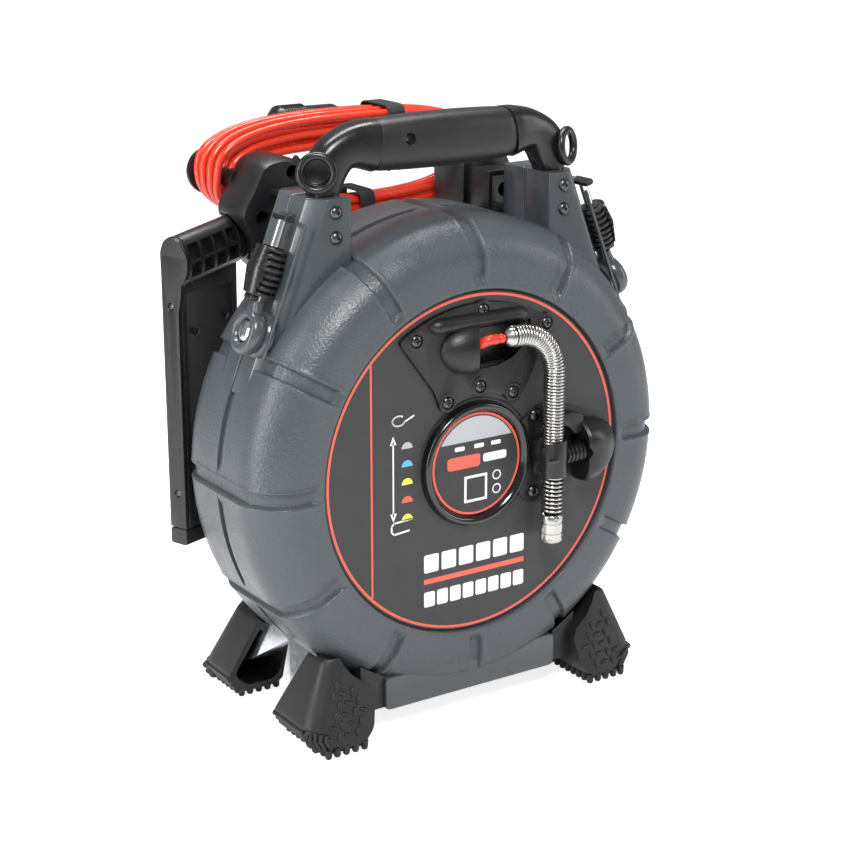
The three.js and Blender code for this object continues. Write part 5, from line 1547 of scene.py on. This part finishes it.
# ---------------------------------------------------------------- stage
def camera_share(tree, as_light, as_seen, socket):
    """One strength for what the camera sees directly, and another for the light it gives."""
    path = tree.nodes.new("ShaderNodeLightPath")
    strength = tree.nodes.new("ShaderNodeMapRange")
    strength.inputs["To Min"].default_value = as_light
    strength.inputs["To Max"].default_value = as_seen
    tree.links.new(path.outputs["Is Camera Ray"], strength.inputs["Value"])
    tree.links.new(strength.outputs["Result"], socket)


def stage():
    low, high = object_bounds()
    size = 14.0
    mesh = bpy.data.meshes.new("floor")
    z = min(low.z, 0.0) - 0.0002
    mesh.from_pydata([(-size, -size, z), (size, -size, z), (size, size, z), (-size, size, z)], [], [[0, 1, 2, 3]])
    floor = bpy.data.objects.new("floor", mesh)
    bpy.context.scene.collection.objects.link(floor)
    pale = new_material("floor_pale", (0.92, 0.92, 0.92), 0.6)
    shader = pale.node_tree.nodes["Principled BSDF"]
    shader.inputs["Emission Color"].default_value = (1, 1, 1, 1)
    camera_share(pale.node_tree, 0.16, 0.80, shader.inputs["Emission Strength"])
    mesh.materials.append(pale)
    floor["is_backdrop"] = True


def area_light(name, spot, target, size, power, color=(1, 1, 1)):
    data = bpy.data.lights.new(name, "AREA")
    data.shape = "RECTANGLE"
    data.size, data.size_y = size
    data.energy = power
    data.color = color
    light = bpy.data.objects.new(name, data)
    bpy.context.scene.collection.objects.link(light)
    light.location = spot
    direction = Vector(target) - Vector(spot)
    light.rotation_euler = direction.to_track_quat("-Z", "Y").to_euler()


def world_light():
    """A white surround: full brightness to the camera, softer as a light."""
    world = bpy.data.worlds.new("studio")
    bpy.context.scene.world = world
    world.use_nodes = True
    background = world.node_tree.nodes["Background"]
    background.inputs["Color"].default_value = (1, 1, 1, 1)
    camera_share(world.node_tree, 0.30, 1.3, background.inputs["Strength"])


def lights():
    world_light()
    target = (0, 0, 0.2)
    area_light("key", (-0.55, -1.1, 1.5), target, (0.55, 0.55), 25)
    area_light("left_panel", (-1.5, -0.05, 0.65), target, (0.22, 1.3), 15)
    area_light("right_panel", (1.4, -0.9, 0.7), target, (0.4, 1.2), 6)
    area_light("top", (0.05, 0.35, 1.7), target, (1.3, 0.35), 26)


def camera():
    """The viewing angle: 33.66 degrees round to the left of the front and 16.99 degrees above."""
    azimuth, elevation = math.radians(33.66), math.radians(16.99)
    distance, across, above = 1350, 34.28, 25.74
    right = Vector((math.cos(azimuth), -math.sin(azimuth), 0))
    back = Vector((-math.sin(azimuth) * math.cos(elevation), -math.cos(azimuth) * math.cos(elevation),
                   math.sin(elevation)))
    up = back.cross(right)
    data = bpy.data.cameras.new("camera")
    data.sensor_width = 36
    data.lens = 83.9
    data.clip_start = 0.05
    data.clip_end = 60
    view = bpy.data.objects.new("camera", data)
    bpy.context.scene.collection.objects.link(view)
    turn = Matrix((right, up, back)).transposed().to_4x4()
    view.matrix_world = Matrix.Translation(to_world(back * distance - right * across + up * above)) @ turn
    bpy.context.scene.camera = view
    bpy.context.scene.view_settings.view_transform = "Standard"


# ---------------------------------------------------------------- build
front_shell()
rear_shell()
for side in (-1, 1):
    for is_front in (True, False):
        tower(side, is_front)
        leg(side, is_front)
        foot(side, is_front)
    tower_rails(side)
    latch(side)
    dock_bracket(side)
for is_front in (True, False):
    base_block(is_front)
plate_and_print()
hub()
guide_cover()
clip_bracket()
camera_clip()
flex_spring()
camera_head()
ferrule_and_lead()
drum()
handle()
for side in (-1, 1):
    for index in (1, 2):
        domed_screw(f"tower_dome_{side_name(side)}_{index}", f"tower_screw_{side_name(side)}_{index}", "front_half")
dock()
system_cable()
strap("strap_band", "cable_strap", FABRIC)
strap("tie_band", "cable_tie", FABRIC)
plug()
stage()
lights()
camera()
